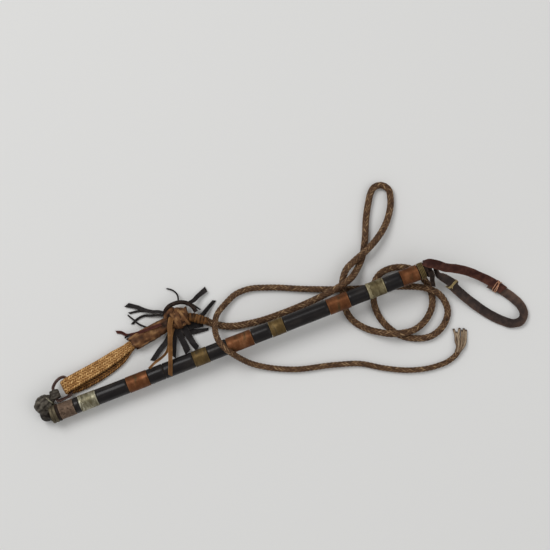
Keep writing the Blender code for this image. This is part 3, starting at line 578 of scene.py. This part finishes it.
# ---------------------------------------------------------------- materials
def finish_material(name, stops, roughness, metallic=0.0, coat=0.0, blotch=(6.0, 0.35),
                    grain=(0.5, 0.05), wrinkle=(3.0, 0.12), stretch=(1.0, 1.0, 1.0), patina=None,
                    toned=True, specular=0.12):
    """A material whose colour is read from a ramp at the mesh's tone, broken up by blotches.
    blotch is (size mm, share), grain and wrinkle are (size mm, height mm), stretch scales the
    texture along X, Y and Z, and patina is (colour, size mm, share of the surface)."""
    made = bpy.data.materials.new(name)
    made.use_nodes = True
    nodes, links = made.node_tree.nodes, made.node_tree.links

    def feed(sockets, values):
        for key, value in values.items():
            if isinstance(value, bpy.types.NodeSocket):
                links.new(value, sockets[key])
            else:
                sockets[key].default_value = value

    def node(kind, values):
        """A shader node; each value is set on its input, or linked to it if it is a socket."""
        made_node = nodes.new("ShaderNode" + kind)
        feed(made_node.inputs, values)
        return made_node

    def maths(operation, a, b):
        step = node("Math", {0: a, 1: b})
        step.operation = operation
        return step.outputs[0]

    spot = node("Mapping", {"Vector": node("TexCoord", {}).outputs["Object"], "Scale": stretch})

    def texture(size, detail=4.0, distortion=0.0):
        return node("TexNoise", {"Vector": spot.outputs[0], "Scale": 1.0 / (size * MM), "Detail": detail,
                                 "Distortion": distortion}).outputs[0]

    tone = 0.5
    if toned:
        attribute = node("Attribute", {})
        attribute.attribute_name = "tone"
        tone = attribute.outputs["Fac"]
    blotches = maths("MULTIPLY", maths("SUBTRACT", texture(blotch[0], 5.0, 0.4), 0.5), 2.0 * blotch[1])
    flecks = maths("MULTIPLY", maths("SUBTRACT", texture(grain[0], 3.0), 0.5), blotch[1])
    ramp = node("ValToRGB", {0: maths("ADD", maths("ADD", blotches, flecks), tone)})
    elements = ramp.color_ramp.elements
    while len(elements) < len(stops):
        elements.new(0.5)
    for i, stop in enumerate(stops):
        elements[i].position = i / (len(stops) - 1)
        elements[i].color = (*stop, 1.0)
    colour = ramp.outputs["Color"]
    if patina:
        tint, size, share = patina
        cover = node("MapRange", {"Value": texture(size, 5.0, 0.8), "From Min": 0.62 - share,
                                  "From Max": 0.72 - share * 0.6})
        mix = node("MixRGB", {"Fac": cover.outputs[0], "Color1": colour, "Color2": (*tint, 1.0)})
        colour = mix.outputs["Color"]

    gloss = node("MapRange", {"Value": texture(blotch[0] * 0.6), "From Min": 0.3, "From Max": 0.7,
                              "To Min": roughness[0], "To Max": roughness[1]})
    normal = {}
    for size, height in (wrinkle, grain):
        bump = node("Bump", {"Distance": height * MM, "Height": texture(size, 4.0, 0.6), **normal})
        normal = {"Normal": bump.outputs["Normal"]}
    feed(nodes["Principled BSDF"].inputs, {
        "Base Color": colour, "Metallic": metallic, "Roughness": gloss.outputs[0], **normal,
        "Coat Weight": coat, "Coat Roughness": 0.18, "Specular IOR Level": specular})
    return made


def make_materials():
    """Every look by its name: the leathers, which share one finish, and the rest."""
    table = {name: dict(LEATHER_FINISH, stops=stops) for name, stops in LEATHER_SHADE_AND_WEAR.items()}
    table.update(FINISHES)
    return {name: finish_material(name, **values) for name, values in table.items()}


# ---------------------------------------------------------------- stock
def turned(shape, profile, surface, bore=SLEEVE_BORE, steps=BAND_STEPS, inside=0.2, at=on_stock):
    """Add a sleeve round an axis: profile is its outside as (x, radius), surface(x, angle) gives its
    relief (mm) and tone, inside is the tone of its bore, kept low as painted shade in the hole, and
    at(x, radius, angle) places a point."""
    rings = []
    for x, radius in profile:
        ring = []
        for angle, _, _ in turn(steps):
            relief, tone = surface(x, angle)
            ring.append((at(x, radius + relief, angle), tone))
        rings.append(ring)
    for x, _ in (profile[-1], profile[0]):
        rings.append([(at(x, bore, angle), inside) for angle, _, _ in turn(steps)])
    shape.skin(rings, looped=True)


def mirrored(start, end, rim, radius, spacing):
    """Profile of a sleeve: its rim as (inset, drop) from one end, stations, and the rim again."""
    left = [(start + inset, radius - drop) for inset, drop in rim]
    right = [(end - inset, radius - drop) for inset, drop in reversed(rim)]
    reach = rim[-1][0]
    inner = end - start - 2 * reach
    count = max(int(inner / spacing), 2)
    return left + [(start + reach + inner * i / count, radius) for i in range(1, count)] + right


def metal_surface(start, end, seed, scallops, beads):
    """Dents, tarnish, a lapped seam and, on some, a scalloped collar at the tip end or beads."""
    def surface(x, angle):
        y, z = math.cos(angle) * 10, math.sin(angle) * 10
        relief = 0.1 * rough(x + seed * 17, y, z, 7.0) + 0.04 * rough(x + seed * 5, y, z, 2.2)
        past = (angle - LAP_ANGLE) / LAP_SPAN
        if 0 <= past <= 1:
            relief += LAP_STEP * past
        to_edge = min(x - start, end - x)
        tone = 0.5 + 0.22 * rough(x + seed * 29, y * 0.6, z * 0.6, 8.0)
        tone += 0.22 * (1 - ease(to_edge / 1.4)) - 0.16 * (1 - ease(abs(to_edge - 2.0) / 0.8))
        if beads:
            groove = 1 - abs(math.sin(beads * math.pi * (x - start) / (end - start))) ** 0.6
            relief -= 0.9 * groove
            tone -= 0.4 * groove
        if scallops:
            reach = 3.2 + 1.6 * abs(math.sin(scallops * angle / 2))
            if x - start < reach:
                relief += 0.22
                tone += 0.3
            elif x - start < reach + 0.7:
                tone -= 0.3
        return relief, tone
    return surface


def leather_surface(start, end, seed):
    """Polished leather with a butted seam under the stock and a fine tool ring near each end."""
    def surface(x, angle):
        y, z = math.cos(angle) * 10, math.sin(angle) * 10
        relief = 0.12 * rough(x * 0.4 + seed * 11, y, z, 8.0)
        seam = abs(angle - LAP_ANGLE - LAP_SPAN)
        relief -= 0.3 * (1 - ease(seam / 0.1))
        to_edge = min(x - start, end - x)
        ring = 1 - ease(abs(to_edge - 1.9) / 0.5)
        relief -= 0.12 * ring
        tone = 0.48 + 0.2 * rough(x * 0.5 + seed * 23, y, z, 9.0) - 0.2 * ring
        tone += 0.25 * (1 - ease(to_edge / 1.0))
        return relief, tone
    return surface


def make_bands():
    """Sleeves, rings and bands in their order along the stock, and the rod that they are on."""
    start, counts = BANDS_START, {}
    for seed, (kind, end) in enumerate(BANDS):
        slot, radius = BAND_KINDS[kind]
        counts[kind] = counts.get(kind, 0) + 1
        name = kind if kind.startswith("tip_") else f"{kind}_{counts[kind]}"
        shape = Shape()
        if slot == "stock_leather":
            profile = mirrored(start, end, LEATHER_RIM, radius, spacing=2.4)
            surface = leather_surface(start, end, seed)
        else:
            scallops = 9 if slot == "nickel" else 0
            beads = 2 if kind == "tip_brass_ring" else 0
            spacing = 0.35 if beads else 0.8 if scallops else 1.6
            profile = mirrored(start, end, METAL_RIM, radius, spacing)
            surface = metal_surface(start, end, seed, scallops, beads)
        turned(shape, profile, surface)
        piece(shape, name + "_finish", DULL_FINISH.get(name, slot), "stock", name, slot=slot)
        start = end + BAND_GAP
    shape = Shape()
    rod = [on_stock(x) for x in (CORE_START, CORE_START + 1.0, CORE_END - 1.0, CORE_END)]
    tube(shape, carried(rod), lambda t: CORE_RADIUS - CORE_CHAMFER * (t in (0.0, 1.0)), around=48)
    piece(shape, "core_rod_wood", "core_wood", "stock", "core_rod")


def make_butt():
    """Wire turns, rolled collar and leather tail at the butt."""
    shape = Shape()
    wire = [on_stock(WIRE_START + WIRE_PITCH * WIRE_TURNS * share, WIRE_HELIX, angle)
            for share, angle in winding(WIRE_TURNS, 40)]
    tube(shape, carried(wire), WIRE_RADIUS, tone=0.34)
    piece(shape, "butt_wire_turns", "brass_wire", "stock", "butt_wire_binding", slot="brass")

    def collar_surface(x, angle):
        bump = rough(x, math.cos(angle) * 10, math.sin(angle) * 10, 4.0)
        return 0.25 * bump, 0.5 + 0.3 * bump

    shape, profile, count = Shape(), [], 26
    for i in range(count + 1):
        share = i / count
        drop = COLLAR_ROLL * (1 - abs(math.sin(TAU * share)) ** 0.5)     # two rolled turns side by side
        profile.append((COLLAR_START + (COLLAR_END - COLLAR_START) * share, COLLAR_RADIUS - drop))
    turned(shape, profile, collar_surface)
    piece(shape, "butt_collar_roll", "dark_leather", "stock", "butt_collar")

    shape = Shape()
    tail = steered(route(BUTT_TAIL, 1.2), lambda share, along: Vector((1, 0, 0)))
    strap(shape, tail, width=lambda t: 7.2 - 1.8 * t, thick=1.9, slant=(0.0, 1.2), cup=0.3, seed=41)
    piece(shape, "butt_tail_leather", "dark_leather", "stock", "butt_tail")


def make_head():
    """Gathered leather knob over the tip."""
    shape = Shape()
    lump(shape, HEAD_LOBE, (12.2, 10.6, 12.4), 0.52, HEAD_AXIS, pleats=9, depth=0.075, bumps=0.17)
    lump(shape, HEAD_CAP, (8.8, 8.8, 11.2), 0.16, pleats=5, depth=0.06, bumps=0.14)
    lump(shape, HEAD_NECK, (6.8, 7.6, 8.8), 0.42, HEAD_AXIS, pleats=9, depth=0.07, bumps=0.14)
    lump(shape, on_stock(HEAD_PLUG_AT), (6.4, 8.6, 8.6), 0.08)
    piece(shape, "head_knob_leather", "head_leather", "stock", "head_knob", sharp=60)


def make_head_wire():
    """Two turns of thin wire round the knob's neck."""
    axis = Vector(HEAD_AXIS).normalized()
    side = UP.cross(axis).normalized()
    wire = [Vector(HEAD_NECK) + side * HEAD_WIRE_SIDE * math.cos(angle)
            + UP * HEAD_WIRE_UP * math.sin(angle) - axis * HEAD_WIRE_RUN * share
            for share, angle in winding(2, 36)]
    shape = Shape()
    tube(shape, carried(wire), HEAD_WIRE, around=8, tone=0.75)
    piece(shape, "head_wire", "nickel", "stock")


def make_eye():
    """Rolled leather eye beside the knob, in coils and rounded off at its ends."""
    def eye_surface(y, angle):
        share = (y - EYE_CENTRE[1]) / EYE_LENGTH + 0.5
        coil = abs(math.sin(3.5 * math.pi * share)) ** 0.5
        end_round = 1 - (1 - ease(min(share, 1 - share) / 0.12)) * 0.2
        lumps = rough(y, 6 * math.cos(angle), 6 * math.sin(angle), 3.0)
        radius = (EYE_RADIUS - 0.5 + 0.5 * coil + 0.2 * lumps) * end_round
        # the coils are lighter on their crests and darker between them: painted shade
        return radius - EYE_RADIUS, 0.26 + 0.28 * coil + 0.25 * lumps

    def eye_point(y, radius, angle):
        return Vector((EYE_CENTRE[0] + radius * math.cos(angle), y,
                       EYE_CENTRE[2] + radius * math.sin(angle)))

    shape, count = Shape(), 30
    profile = [(EYE_CENTRE[1] + EYE_LENGTH * (i / count - 0.5), EYE_RADIUS) for i in range(count + 1)]
    # the eye's hole is nearly black: painted shade
    turned(shape, profile, eye_surface, bore=EYE_BORE, steps=48, inside=0.05, at=eye_point)
    piece(shape, "head_eye_roll", "head_leather", "stock", "head_eye")


# ---------------------------------------------------------------- lash
def make_ring():
    """Two thin laces side by side through the eye and the keeper's fold."""
    path = route(RING_ROUTE + RING_ROUTE[:1], 0.9)[:-1]
    shape = Shape()
    for offset, tone in ((-LACE_OFFSET, 0.46), (LACE_OFFSET, 0.62)):
        lace = [(point + side * offset, along, side, up) for point, along, side, up in level(path)]
        tube(shape, lace, LACE_RADIUS, tone=tone, looped=True)
    piece(shape, "leather_ring_laces", "lace_leather", "ring", "leather_ring", slot="dark_leather")


def box_outline(share, width, thick):
    """Point on a flat strap's outline with round edges, at that share of its perimeter, as
    (across, up)."""
    at = share * 2 * (width + thick)
    a = clamp(min(at, 2 * width + thick - at), 0, width) - width / 2
    h = thick / 2 - clamp(min(at - width, 2 * (width + thick) - at), 0, thick)
    core = clamp(a, (thick - width) / 2, (width - thick) / 2)
    away = Vector((a - core, h)).normalized() * thick / 2
    return core + away.x, away.y


def make_keeper():
    """Plaited rawhide strap, doubled over the ring: herringbone stitches stand out of its skin."""
    path = route(KEEPER_ROUTE, 0.5)
    around = KEEPER_COLUMNS * KEEPER_STEPS
    shape, rings, at = Shape(), [], 0.0
    for i, (point, _, side, up) in enumerate(steered(path, lambda share, along: KEEPER_ACROSS)):
        t = i / (len(path) - 1)
        width = lerp_table(KEEPER_WIDTHS, t)
        if i:
            at += (path[i] - path[i - 1]).length
        under = 0.3 * (1 - ease((t - 0.42) / 0.1))      # the lower layer is darker: painted shade under the upper layer
        ring = []
        for k in range(around):
            column, within = divmod(k / KEEPER_STEPS, 1.0)
            lean = 1.1 if int(column) % 2 else -1.1
            number, phase = divmod(at / KEEPER_STITCH + lean * (within - 0.5), 1.0)
            bulge = math.sin(math.pi * phase) ** 0.6 * (0.35 + 0.65 * math.sin(math.pi * within) ** 0.5)
            a, h = box_outline(k / around, width - 1.2, KEEPER_THICK - 1.0)
            out = Vector((a / width, h / KEEPER_THICK)).normalized()
            lift = 0.75 * bulge - 0.1
            spread = 0.2 * rough(number * 3.1 + column * 5.7, column, 0.5, 1.0)
            dirt = 0.12 * rough(at, column * 2.0, 3.0, 14.0)
            # stitches are lighter on their crests and darker in the gaps between them: painted light and
            # painted shade
            ring.append((point + side * (a + out.x * lift) + up * (h + out.y * lift),
                         0.8 * bulge + 1.5 * spread + dirt - under))
        rings.append(ring)
    shape.skin(rings)
    piece(shape, "keeper_plait", "rawhide", "lash", "plaited_keeper", sharp=180)


def make_sleeve():
    """Wrinkled leather tube over the keeper's tails, torn at its open end."""
    tables = [[(row[0], row[column]) for row in SLEEVE_STATIONS] for column in (1, 2, 3)]
    count, around = 64, 96
    outer, inner = [], []
    for i in range(count + 1):
        share = i / count
        ring, inside = [], []
        for k, (_, c, s) in enumerate(turn(around)):
            torn = SLEEVE_TORN - 4.5 * c + 3.2 * rough(k * 0.35, 2.3, 0.4, 1.7)
            torn += 1.4 * rough(k * 0.8, 5.3, 0.7, 1.0)
            x = torn + (SLEEVE_END - torn) * share
            middle, wide, high = (lerp_table(table, x) for table in tables)
            y = wide * c
            crease = rough(x * 0.8, y * 0.35, high * s * 0.35 + 7.0, 2.6)
            swell = 0.85 * rough(x * 0.28, y, high * s, 3.2) + 0.45 * crease
            across, height = squared(c, 2 / 3), squared(s, 2 / 3)
            point = Vector((x, middle + (wide - 0.4 + swell * 0.6) * across,
                            0.2 + high + (high - 0.3 + swell) * height))
            point.z = max(point.z, 0.1)
            dirt = 0.3 * rough(x * 0.5, y, high * s + 3.0, 9.0)
            near_knot = 0.22 * ease((x - SLEEVE_DARK_FROM) / SLEEVE_DARK_OVER)
            edge = 0.4 * (1 - ease(share / 0.05))
            # swells are lighter and creases darker: painted shade in the creases
            ring.append((point, 0.46 + 0.5 * swell + dirt - near_knot - edge))
            # the inside wall is dark: painted shade inside the tube
            inside.append((Vector((x + 0.3, middle + (wide - SLEEVE_WALL) * across,
                                   0.2 + high + (high - SLEEVE_WALL) * height)), 0.1))
        outer.append(ring)
        inner.append(inside)
    shape = Shape()
    shape.skin(outer + inner[::-1], looped=True)
    piece(shape, "sleeve_wrinkled", "sleeve_leather", "lash", "keeper_sleeve", sharp=70)


def add_knot_fold(shape, x, lean, wide, tone, number):
    """Add a folded band pulled round the knot's core, crossing it at x and leaning."""
    away = (x - KNOT_CENTRE.x) / KNOT_HALF[0]
    girth = math.sqrt(max(1 - away * away, 0.1)) ** 0.8
    loop = []
    for _, angle in winding(1, 72):                 # from below the core, round and back
        y = (KNOT_HALF[1] + 0.2) * girth * math.sin(angle)
        z = KNOT_CENTRE.z - (KNOT_HALF[2] - 0.1) * girth * math.cos(angle)
        loop.append(Vector((x + lean * y, KNOT_CENTRE.y + y, max(z, 1.0))))
    stations = steered(loop, lambda share, along: Vector((1, lean, 0)))
    # the fold's edges are darkened where they tuck into the knot: painted shade
    strap(shape, stations, wide, thick=1.8, crown=0.8, cup=-0.35, tone=tone, wear=-0.36,
          seed=number + 3, roll=lambda t: 0.3 * math.sin(TAU * t + 1.7 * number))


def make_knot():
    """Gathered core with folded bands round it, and the arched bight over it."""
    shape = Shape()
    lump(shape, KNOT_CENTRE, KNOT_HALF, 0.42, pleats=7, depth=0.1, bumps=0.09)
    lump(shape, KNOT_SIDE_LOBE, (9.4, 7.6, 7.2), 0.22, axis=(0.8, 0.6, 0.0), pleats=5)
    for number, fold in enumerate(KNOT_FOLDS):
        add_knot_fold(shape, *fold, number)
    piece(shape, "knot_folds", "sleeve_leather", "lash", "knot_core", sharp=60)

    shape = Shape()
    # the arch's edges are a little darker: painted shade
    strap(shape, level(route(KNOT_ARCH, 0.8)), width=5.2, thick=3.6, crown=0.6, tone=0.55, wear=-0.05,
          roll=lambda t: 0.5 * math.sin(2.6 * t), seed=17)
    piece(shape, "knot_arch", "dark_leather", "lash", "knot_bight", sharp=60)


def make_knot_wrap():
    """Tan leather wound round the start of the thong."""
    shape, rings = Shape(), []
    path = route(KNOT_WRAP, 0.45)
    for i, (point, _, side, up) in enumerate(carried(path)):
        t = i / (len(path) - 1)
        ridge = abs(math.sin(math.pi * 6.5 * t)) ** 0.55
        radius = 4.8 + 0.75 * ridge + 0.5 * math.sin(math.pi * clamp(t * 1.3)) - 0.4 * t
        ring = []
        for _, c, s in turn(40):
            lumps = rough(point.x + c * 2, point.y, s * 3, 2.4)
            # the turns' ridges are lighter and the grooves between them nearly black: painted shade
            ring.append((point + (side * c + up * s) * (radius + 0.25 * lumps),
                         0.02 + 0.3 * ridge + 0.4 * lumps))
        rings.append(ring)
    shape.skin(rings)
    piece(shape, "knot_wrap_turns", "tan_leather", "lash", "knot_tan_wrap", sharp=60)


def cut_strip(name, points, root, tip, look, *nodes, thick=1.1, **finish):
    """A strip of cut leather that widens or narrows evenly from its root to its tip."""
    shape = Shape()
    strap(shape, level(route(points, 0.9)), lambda t: root + (tip - root) * t, thick, **finish)
    piece(shape, name, look, "lash", *nodes)


def make_tassel():
    """Thin strips cut from scrap leather, slightly curled, with slanted ends."""
    random.seed(5)
    for seed, (points, root, tip) in enumerate(STRIPS):
        name = f"tassel_strip_{seed + 1}"
        slant = (0.0, random.choice((-1, 1)) * tip * random.uniform(0.15, 0.4))
        twist = random.uniform(-0.35, 0.35)
        cut_strip(name + "_cut", points, root, tip, STRIP_LEATHERS.get(name, "tassel_leather"), name,
                  crown=0.2, cup=random.uniform(-0.25, 0.35), slant=slant, tone=0.42, wear=0.3, seed=seed,
                  roll=lambda t: twist * ease(t))
    for name, (points, root, tip) in SHORT_STRIPS.items():
        cut_strip(name, points, root, tip, "tassel_leather", thick=1.0, cup=0.2, slant=(0.0, 0.6),
                  tone=0.36, wear=0.3, seed=len(name))


# ---------------------------------------------------------------- wrist strap
def strap_blend(obj):
    """Bake the placing of a strap length that lies between the stock and the strap into its mesh."""
    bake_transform(obj)


def binding(shape, routes, near, turns, wire, pitch, lean, swing, tone):
    """Add wire wound round two lapped strap lengths where they pass a point, with twisted ends.
    The turns lie a pitch apart (mm) and lean; swing is how often they cross from side to side."""
    middles, tangents = [], []
    for points in routes:
        path = smooth_path(points)
        at = min(range(len(path)), key=lambda i: (path[i] - Vector(near)).length)
        middles.append(path[at])
        tangents.append(tangents_of(path)[at])
    centre = (middles[0] + middles[1]) / 2
    along = tangents[0] - tangents[1] if tangents[0].dot(tangents[1]) < 0 else tangents[0] + tangents[1]
    along.normalize()
    side = UP.cross(along).normalized()
    up = along.cross(side)
    apart = middles[0] - middles[1]
    loose_up, loose_side = 0.35, 0.15               # the leather's waves stay under the wire
    half_up = abs(apart.dot(up)) / 2 + STRAP_THICK / 2 + wire + loose_up
    half_side = abs(apart.dot(side)) / 2 + STRAP_FACE / 2 + wire + loose_side
    path, corner = [], 0.45
    for share, angle in winding(turns, 40):
        shift = (share - 0.5) * turns * pitch + lean * math.cos(swing * angle)
        path.append(centre + along * shift + side * squared(math.cos(angle), corner) * half_side
                    + up * squared(math.sin(angle), corner) * half_up)
    tube(shape, carried(path), wire, around=8, tone=tone)
    start = centre + side * half_side * 0.35 + up * (half_up + wire)
    for phase in (0.0, math.pi):
        end = []
        for t, _ in winding(1, 24):
            twist = (along * math.cos(8 * t + phase) + up * math.sin(8 * t + phase)) * wire * 0.9
            end.append(start + (side * 3.0 - along * 2.2) * t + up * 0.4 * math.sin(3 * t) + twist)
        tube(shape, carried(end), wire * 0.8, around=8, tone=tone)


def make_strap_ends():
    """The strap's two lengths that leave the butt."""
    shape = Shape()
    upper = route(STRAP_FOLD + STRAP_ROOT_UPPER + STRAP_UPPER, 1.2)
    # one side of the strap is painted lighter and the other darker: painted light and shade across its
    # rolled face
    strap(shape, level(upper), width=lambda t: STRAP_FACE * (0.5 + 0.5 * ease(t * 14)) ** 0.8,
          thick=STRAP_THICK + 0.3, crown=0.5, slant=(0.0, 1.5), tone=lambda t: 0.5 + 0.16 * t,
          wear=0.16, painted_side_shading=-0.1, seed=21, roll=lambda t: 0.5 * ease(t * 3) * ease(3.4 - 3.4 * t))
    strap_blend(piece(shape, "strap_upper_length", "strap_red_brown", None, "strap_upper",
                      "strap_root_upper"))

    def turning(share, along):
        """The side turns from nearly upright to level over the first three quarters."""
        return Vector((0.3, 0.1, 1.0)).lerp(UP.cross(along), ease(share / 0.75))

    shape = Shape()
    lower = route(STRAP_ROOT_LOWER[::-1] + STRAP_TAB[::-1], 1.2)
    strap(shape, steered(lower, turning), lambda t: 8.0 + (STRAP_FACE - 8.0) * ease(t * 1.4), STRAP_THICK,
          crown=0.4, slant=(0.0, -1.8), tone=0.42, wear=0.18, seed=22)
    strap_blend(piece(shape, "strap_lower_length", "strap_brown", None, "strap_tab", "strap_root_lower"))


def make_strap_loop():
    """The strap's outer loop, rolled and lifted at its far turn, and the wires that bind it."""
    def far_turn(share):
        return math.exp(-((share - 0.42) / 0.13) ** 2)

    path = route(STRAP_OUTER, 1.5)
    lifted = [point + UP * (2.9 * far_turn(i / (len(path) - 1)) + 0.25) for i, point in enumerate(path)]
    shape = Shape()
    # one side of the loop is painted lighter and the other darker: painted light and shade across its
    # rolled face
    strap(shape, level(lifted), lambda t: STRAP_FACE + 0.8 * t, STRAP_THICK + 0.2, crown=0.5,
          slant=(1.5, -2.0), tone=lambda t: 0.84 - 0.36 * ease(t * 1.9), wear=0.12, painted_side_shading=0.16, seed=23,
          roll=lambda t: -0.5 * far_turn(t))
    piece(shape, "strap_outer_length", "strap_brown", "strap", "strap_outer")

    shape = Shape()
    binding(shape, (STRAP_UPPER, STRAP_OUTER), COPPER_BINDING_AT, turns=3, wire=0.5, pitch=1.5, lean=1.9,
            swing=1.5, tone=0.6)
    piece(shape, "copper_binding_wire", "copper_wire", "strap", "copper_binding", slot="copper", sharp=60)
    shape = Shape()
    binding(shape, (STRAP_TAB, STRAP_OUTER), BRASS_BINDING_AT, turns=3, wire=0.42, pitch=1.1, lean=2.4,
            swing=1.0, tone=0.66)
    piece(shape, "brass_binding_wire", "brass_wire", "strap", "brass_binding", slot="brass", sharp=60)


# ---------------------------------------------------------------- thong
def thong_radius(t):
    return THONG_RADIUS * lerp_table(THONG_TAPER, t)


def plait(shape, stations, length):
    """Add the thong's round plait: strands wind both ways and pass over two and under two."""
    half_wide, half_thick, sway = 1.33, 0.46, 0.36
    outline = ((1.0, -0.3, 0.0), (0.55, 0.45, 0.5), (0.0, 0.6, 1.0), (-0.55, 0.45, 0.5), (-1.0, -0.3, 0.0),
               (0.0, -0.6, 0.0))                    # across, up and lightness, which paints light on each strand's crest and shade on its sides and the face toward the core
    last = len(stations) - 1
    random.seed(11)
    for way in (1, -1):
        for strand in range(PLAIT_STRANDS):
            light = random.choice((0.0, 0.05, 0.1, 0.24))
            rings = []
            for i, (point, along, side, up) in enumerate(stations):
                t = i / last
                turns = length * t / PLAIT_TURN
                crossing = 2 * PLAIT_STRANDS * turns
                phase = crossing + 2 * strand - 0.5 if way > 0 else 2 * strand - crossing - 2.5
                over = math.cos(math.pi / 2 * phase)
                angle = TAU * (way * turns + strand / PLAIT_STRANDS)
                out = side * math.cos(angle) + up * math.sin(angle)
                round_it = up * math.cos(angle) - side * math.sin(angle)
                radius = thong_radius(t)
                middle = radius - half_thick * 1.2 - sway + sway * over
                slope = TAU * middle / PLAIT_TURN * way
                across = (round_it - along * slope) / math.hypot(1.0, slope)
                across *= half_wide * radius / THONG_RADIUS
                fleck = 0.34 * rough(i * 0.21 + strand * 9.1, way * 3.3, 0.4, 1.0)
                # a strand is lighter where it passes over and darker where it dips under its neighbours:
                # painted shade
                shade = 0.25 + 0.15 * over + light + fleck
                rings.append([(point + out * (middle + h * half_thick * 2) + across * a,
                               0.14 + shade * bright) for a, h, bright in outline])
            shape.skin(rings)


def fray_hair(shape, points, number, hair):
    """Add one hair of a strand of the thong's loose end, lighter outwards and dark at its tip, with
    painted light on its top and painted shade on its underside.
    """
    curve = []
    for across, along, high in points:
        wavy = across + 0.6 * math.sin(0.5 * along + 2 * number + hair)
        curve.append(Vector(THONG_ROUTE[-1]) + FRAY_ACROSS * wavy + FRAY_ALONG * along + UP * high)
    curve = route(curve, 0.8)
    last = len(curve) - 1
    shade = (0.30, 0.16)[(number + hair) % 2]

    def hair_tone(i, sine):
        worn = 0.12 * rough(i * 0.5, hair * 5.0, number * 7.0, 2.0)
        tip = 1 - ease((last - i) / 4)
        # the sine round the hair paints its top lighter and its underside darker: painted light and
        # painted shade
        return (shade + 0.26 * i / last + worn + 0.36 * sine) * (1 - 0.9 * tip)

    tube(shape, carried(curve), lambda t: 1.7 - 0.3 * t, tone=hair_tone)


def make_thong():
    """Round plaited thong on its whole route, and the strands of its frayed end."""
    path = even(smooth_path(THONG_ROUTE, 24), THONG_SAMPLES)
    stations = carried(path)
    shape = Shape()
    # the core under the strands is nearly black: painted shade in the gaps between them
    tube(shape, stations, lambda t: thong_radius(t) - 1.3, tone=0.02)
    plait(shape, stations, length_of(path))
    thong = piece(shape, "thong_plait", "thong_leather", None, "thong", sharp=75)
    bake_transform(thong)

    for number, hairs in enumerate(FRAY, 1):
        shape = Shape()
        for hair, points in enumerate(hairs):
            fray_hair(shape, points, number, hair)
        piece(shape, f"frayed_strand_{number}_hairs", "thong_frayed", "stock",
                           f"frayed_strand_{number}", slot="thong_leather", sharp=60)


# ---------------------------------------------------------------- studio
FLOOR_COLOUR, FLOOR_HALF, FLOOR_DEPTH = (0.752, 0.752, 0.744), 6.0, 0.0002
LIGHTS = (                          # name, place (m), size (m), power (W)
    ("key", (-1.0, 1.7, 3.0), 1.8, 57.0),
    ("fill", (1.6, -1.4, 2.6), 2.4, 19.0),
)
SKY_COLOUR, SKY_STRENGTH = (1.0, 0.995, 0.985, 1.0), 0.44
CAMERA_TARGET, CAMERA_DISTANCE, CAMERA_LENS = Vector((0.02885, 0.06949, 0.0)), 2.0, 103.7
CAMERA_AZIMUTH, CAMERA_ELEVATION = math.radians(-21.162), math.radians(82.0)


def make_floor():
    """Plain level surface just under the whip."""
    mesh = bpy.data.meshes.new("floor")
    edge = ((-1, -1), (1, -1), (1, 1), (-1, 1))
    mesh.from_pydata([(x * FLOOR_HALF, y * FLOOR_HALF, 0) for x, y in edge], [], [(0, 1, 2, 3)])
    material = bpy.data.materials.new("floor")
    material.use_nodes = True
    shader = material.node_tree.nodes["Principled BSDF"]
    shader.inputs["Base Color"].default_value = (*FLOOR_COLOUR, 1.0)
    shader.inputs["Roughness"].default_value = 0.9
    shader.inputs["Specular IOR Level"].default_value = 0.1
    mesh.materials.append(material)
    floor = bpy.data.objects.new("floor", mesh)
    floor.location.z = -FLOOR_DEPTH
    bpy.context.scene.collection.objects.link(floor)


def make_aimed(name, data, location, facing):
    """Lamp or camera at that place, looking along a direction."""
    obj = bpy.data.objects.new(name, data)
    obj.location = location
    obj.rotation_mode = "QUATERNION"
    obj.rotation_quaternion = facing.to_track_quat("-Z", "Y")
    bpy.context.scene.collection.objects.link(obj)
    return obj


def make_lights():
    for name, location, size, energy in LIGHTS:
        data = bpy.data.lights.new(name, "AREA")
        data.shape = "SQUARE"
        data.size = size
        data.energy = energy
        make_aimed(name, data, location, -Vector(location))
    world = bpy.data.worlds.new("studio")
    world.use_nodes = True
    sky = world.node_tree.nodes["Background"]
    sky.inputs["Color"].default_value = SKY_COLOUR
    sky.inputs["Strength"].default_value = SKY_STRENGTH
    bpy.context.scene.world = world


def make_camera():
    flat = math.cos(CAMERA_ELEVATION)
    back = Vector((math.sin(CAMERA_AZIMUTH) * flat, -math.cos(CAMERA_AZIMUTH) * flat,
                   math.sin(CAMERA_ELEVATION)))
    data = bpy.data.cameras.new("camera")
    data.lens = CAMERA_LENS
    data.sensor_width = 36.0
    data.clip_end = 50.0
    bpy.context.scene.camera = make_aimed("camera", data, CAMERA_TARGET + back * CAMERA_DISTANCE, -back)
    bpy.context.scene.view_settings.view_transform = "Standard"


# ---------------------------------------------------------------- the scene
for leftover in list(bpy.data.objects):
    bpy.data.objects.remove(leftover, do_unlink=True)
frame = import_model()
make_floor()
make_lights()
make_camera()
finishes = make_materials()
make_thong()
make_bands()
make_butt()
make_head()
make_eye()
make_head_wire()
make_ring()
make_keeper()
make_sleeve()
make_knot()
make_knot_wrap()
make_tassel()
make_strap_ends()
make_strap_loop()
frame["nodes"]["butt_wire_seat"].data.materials[0] = finishes["butt_wire_seat"]
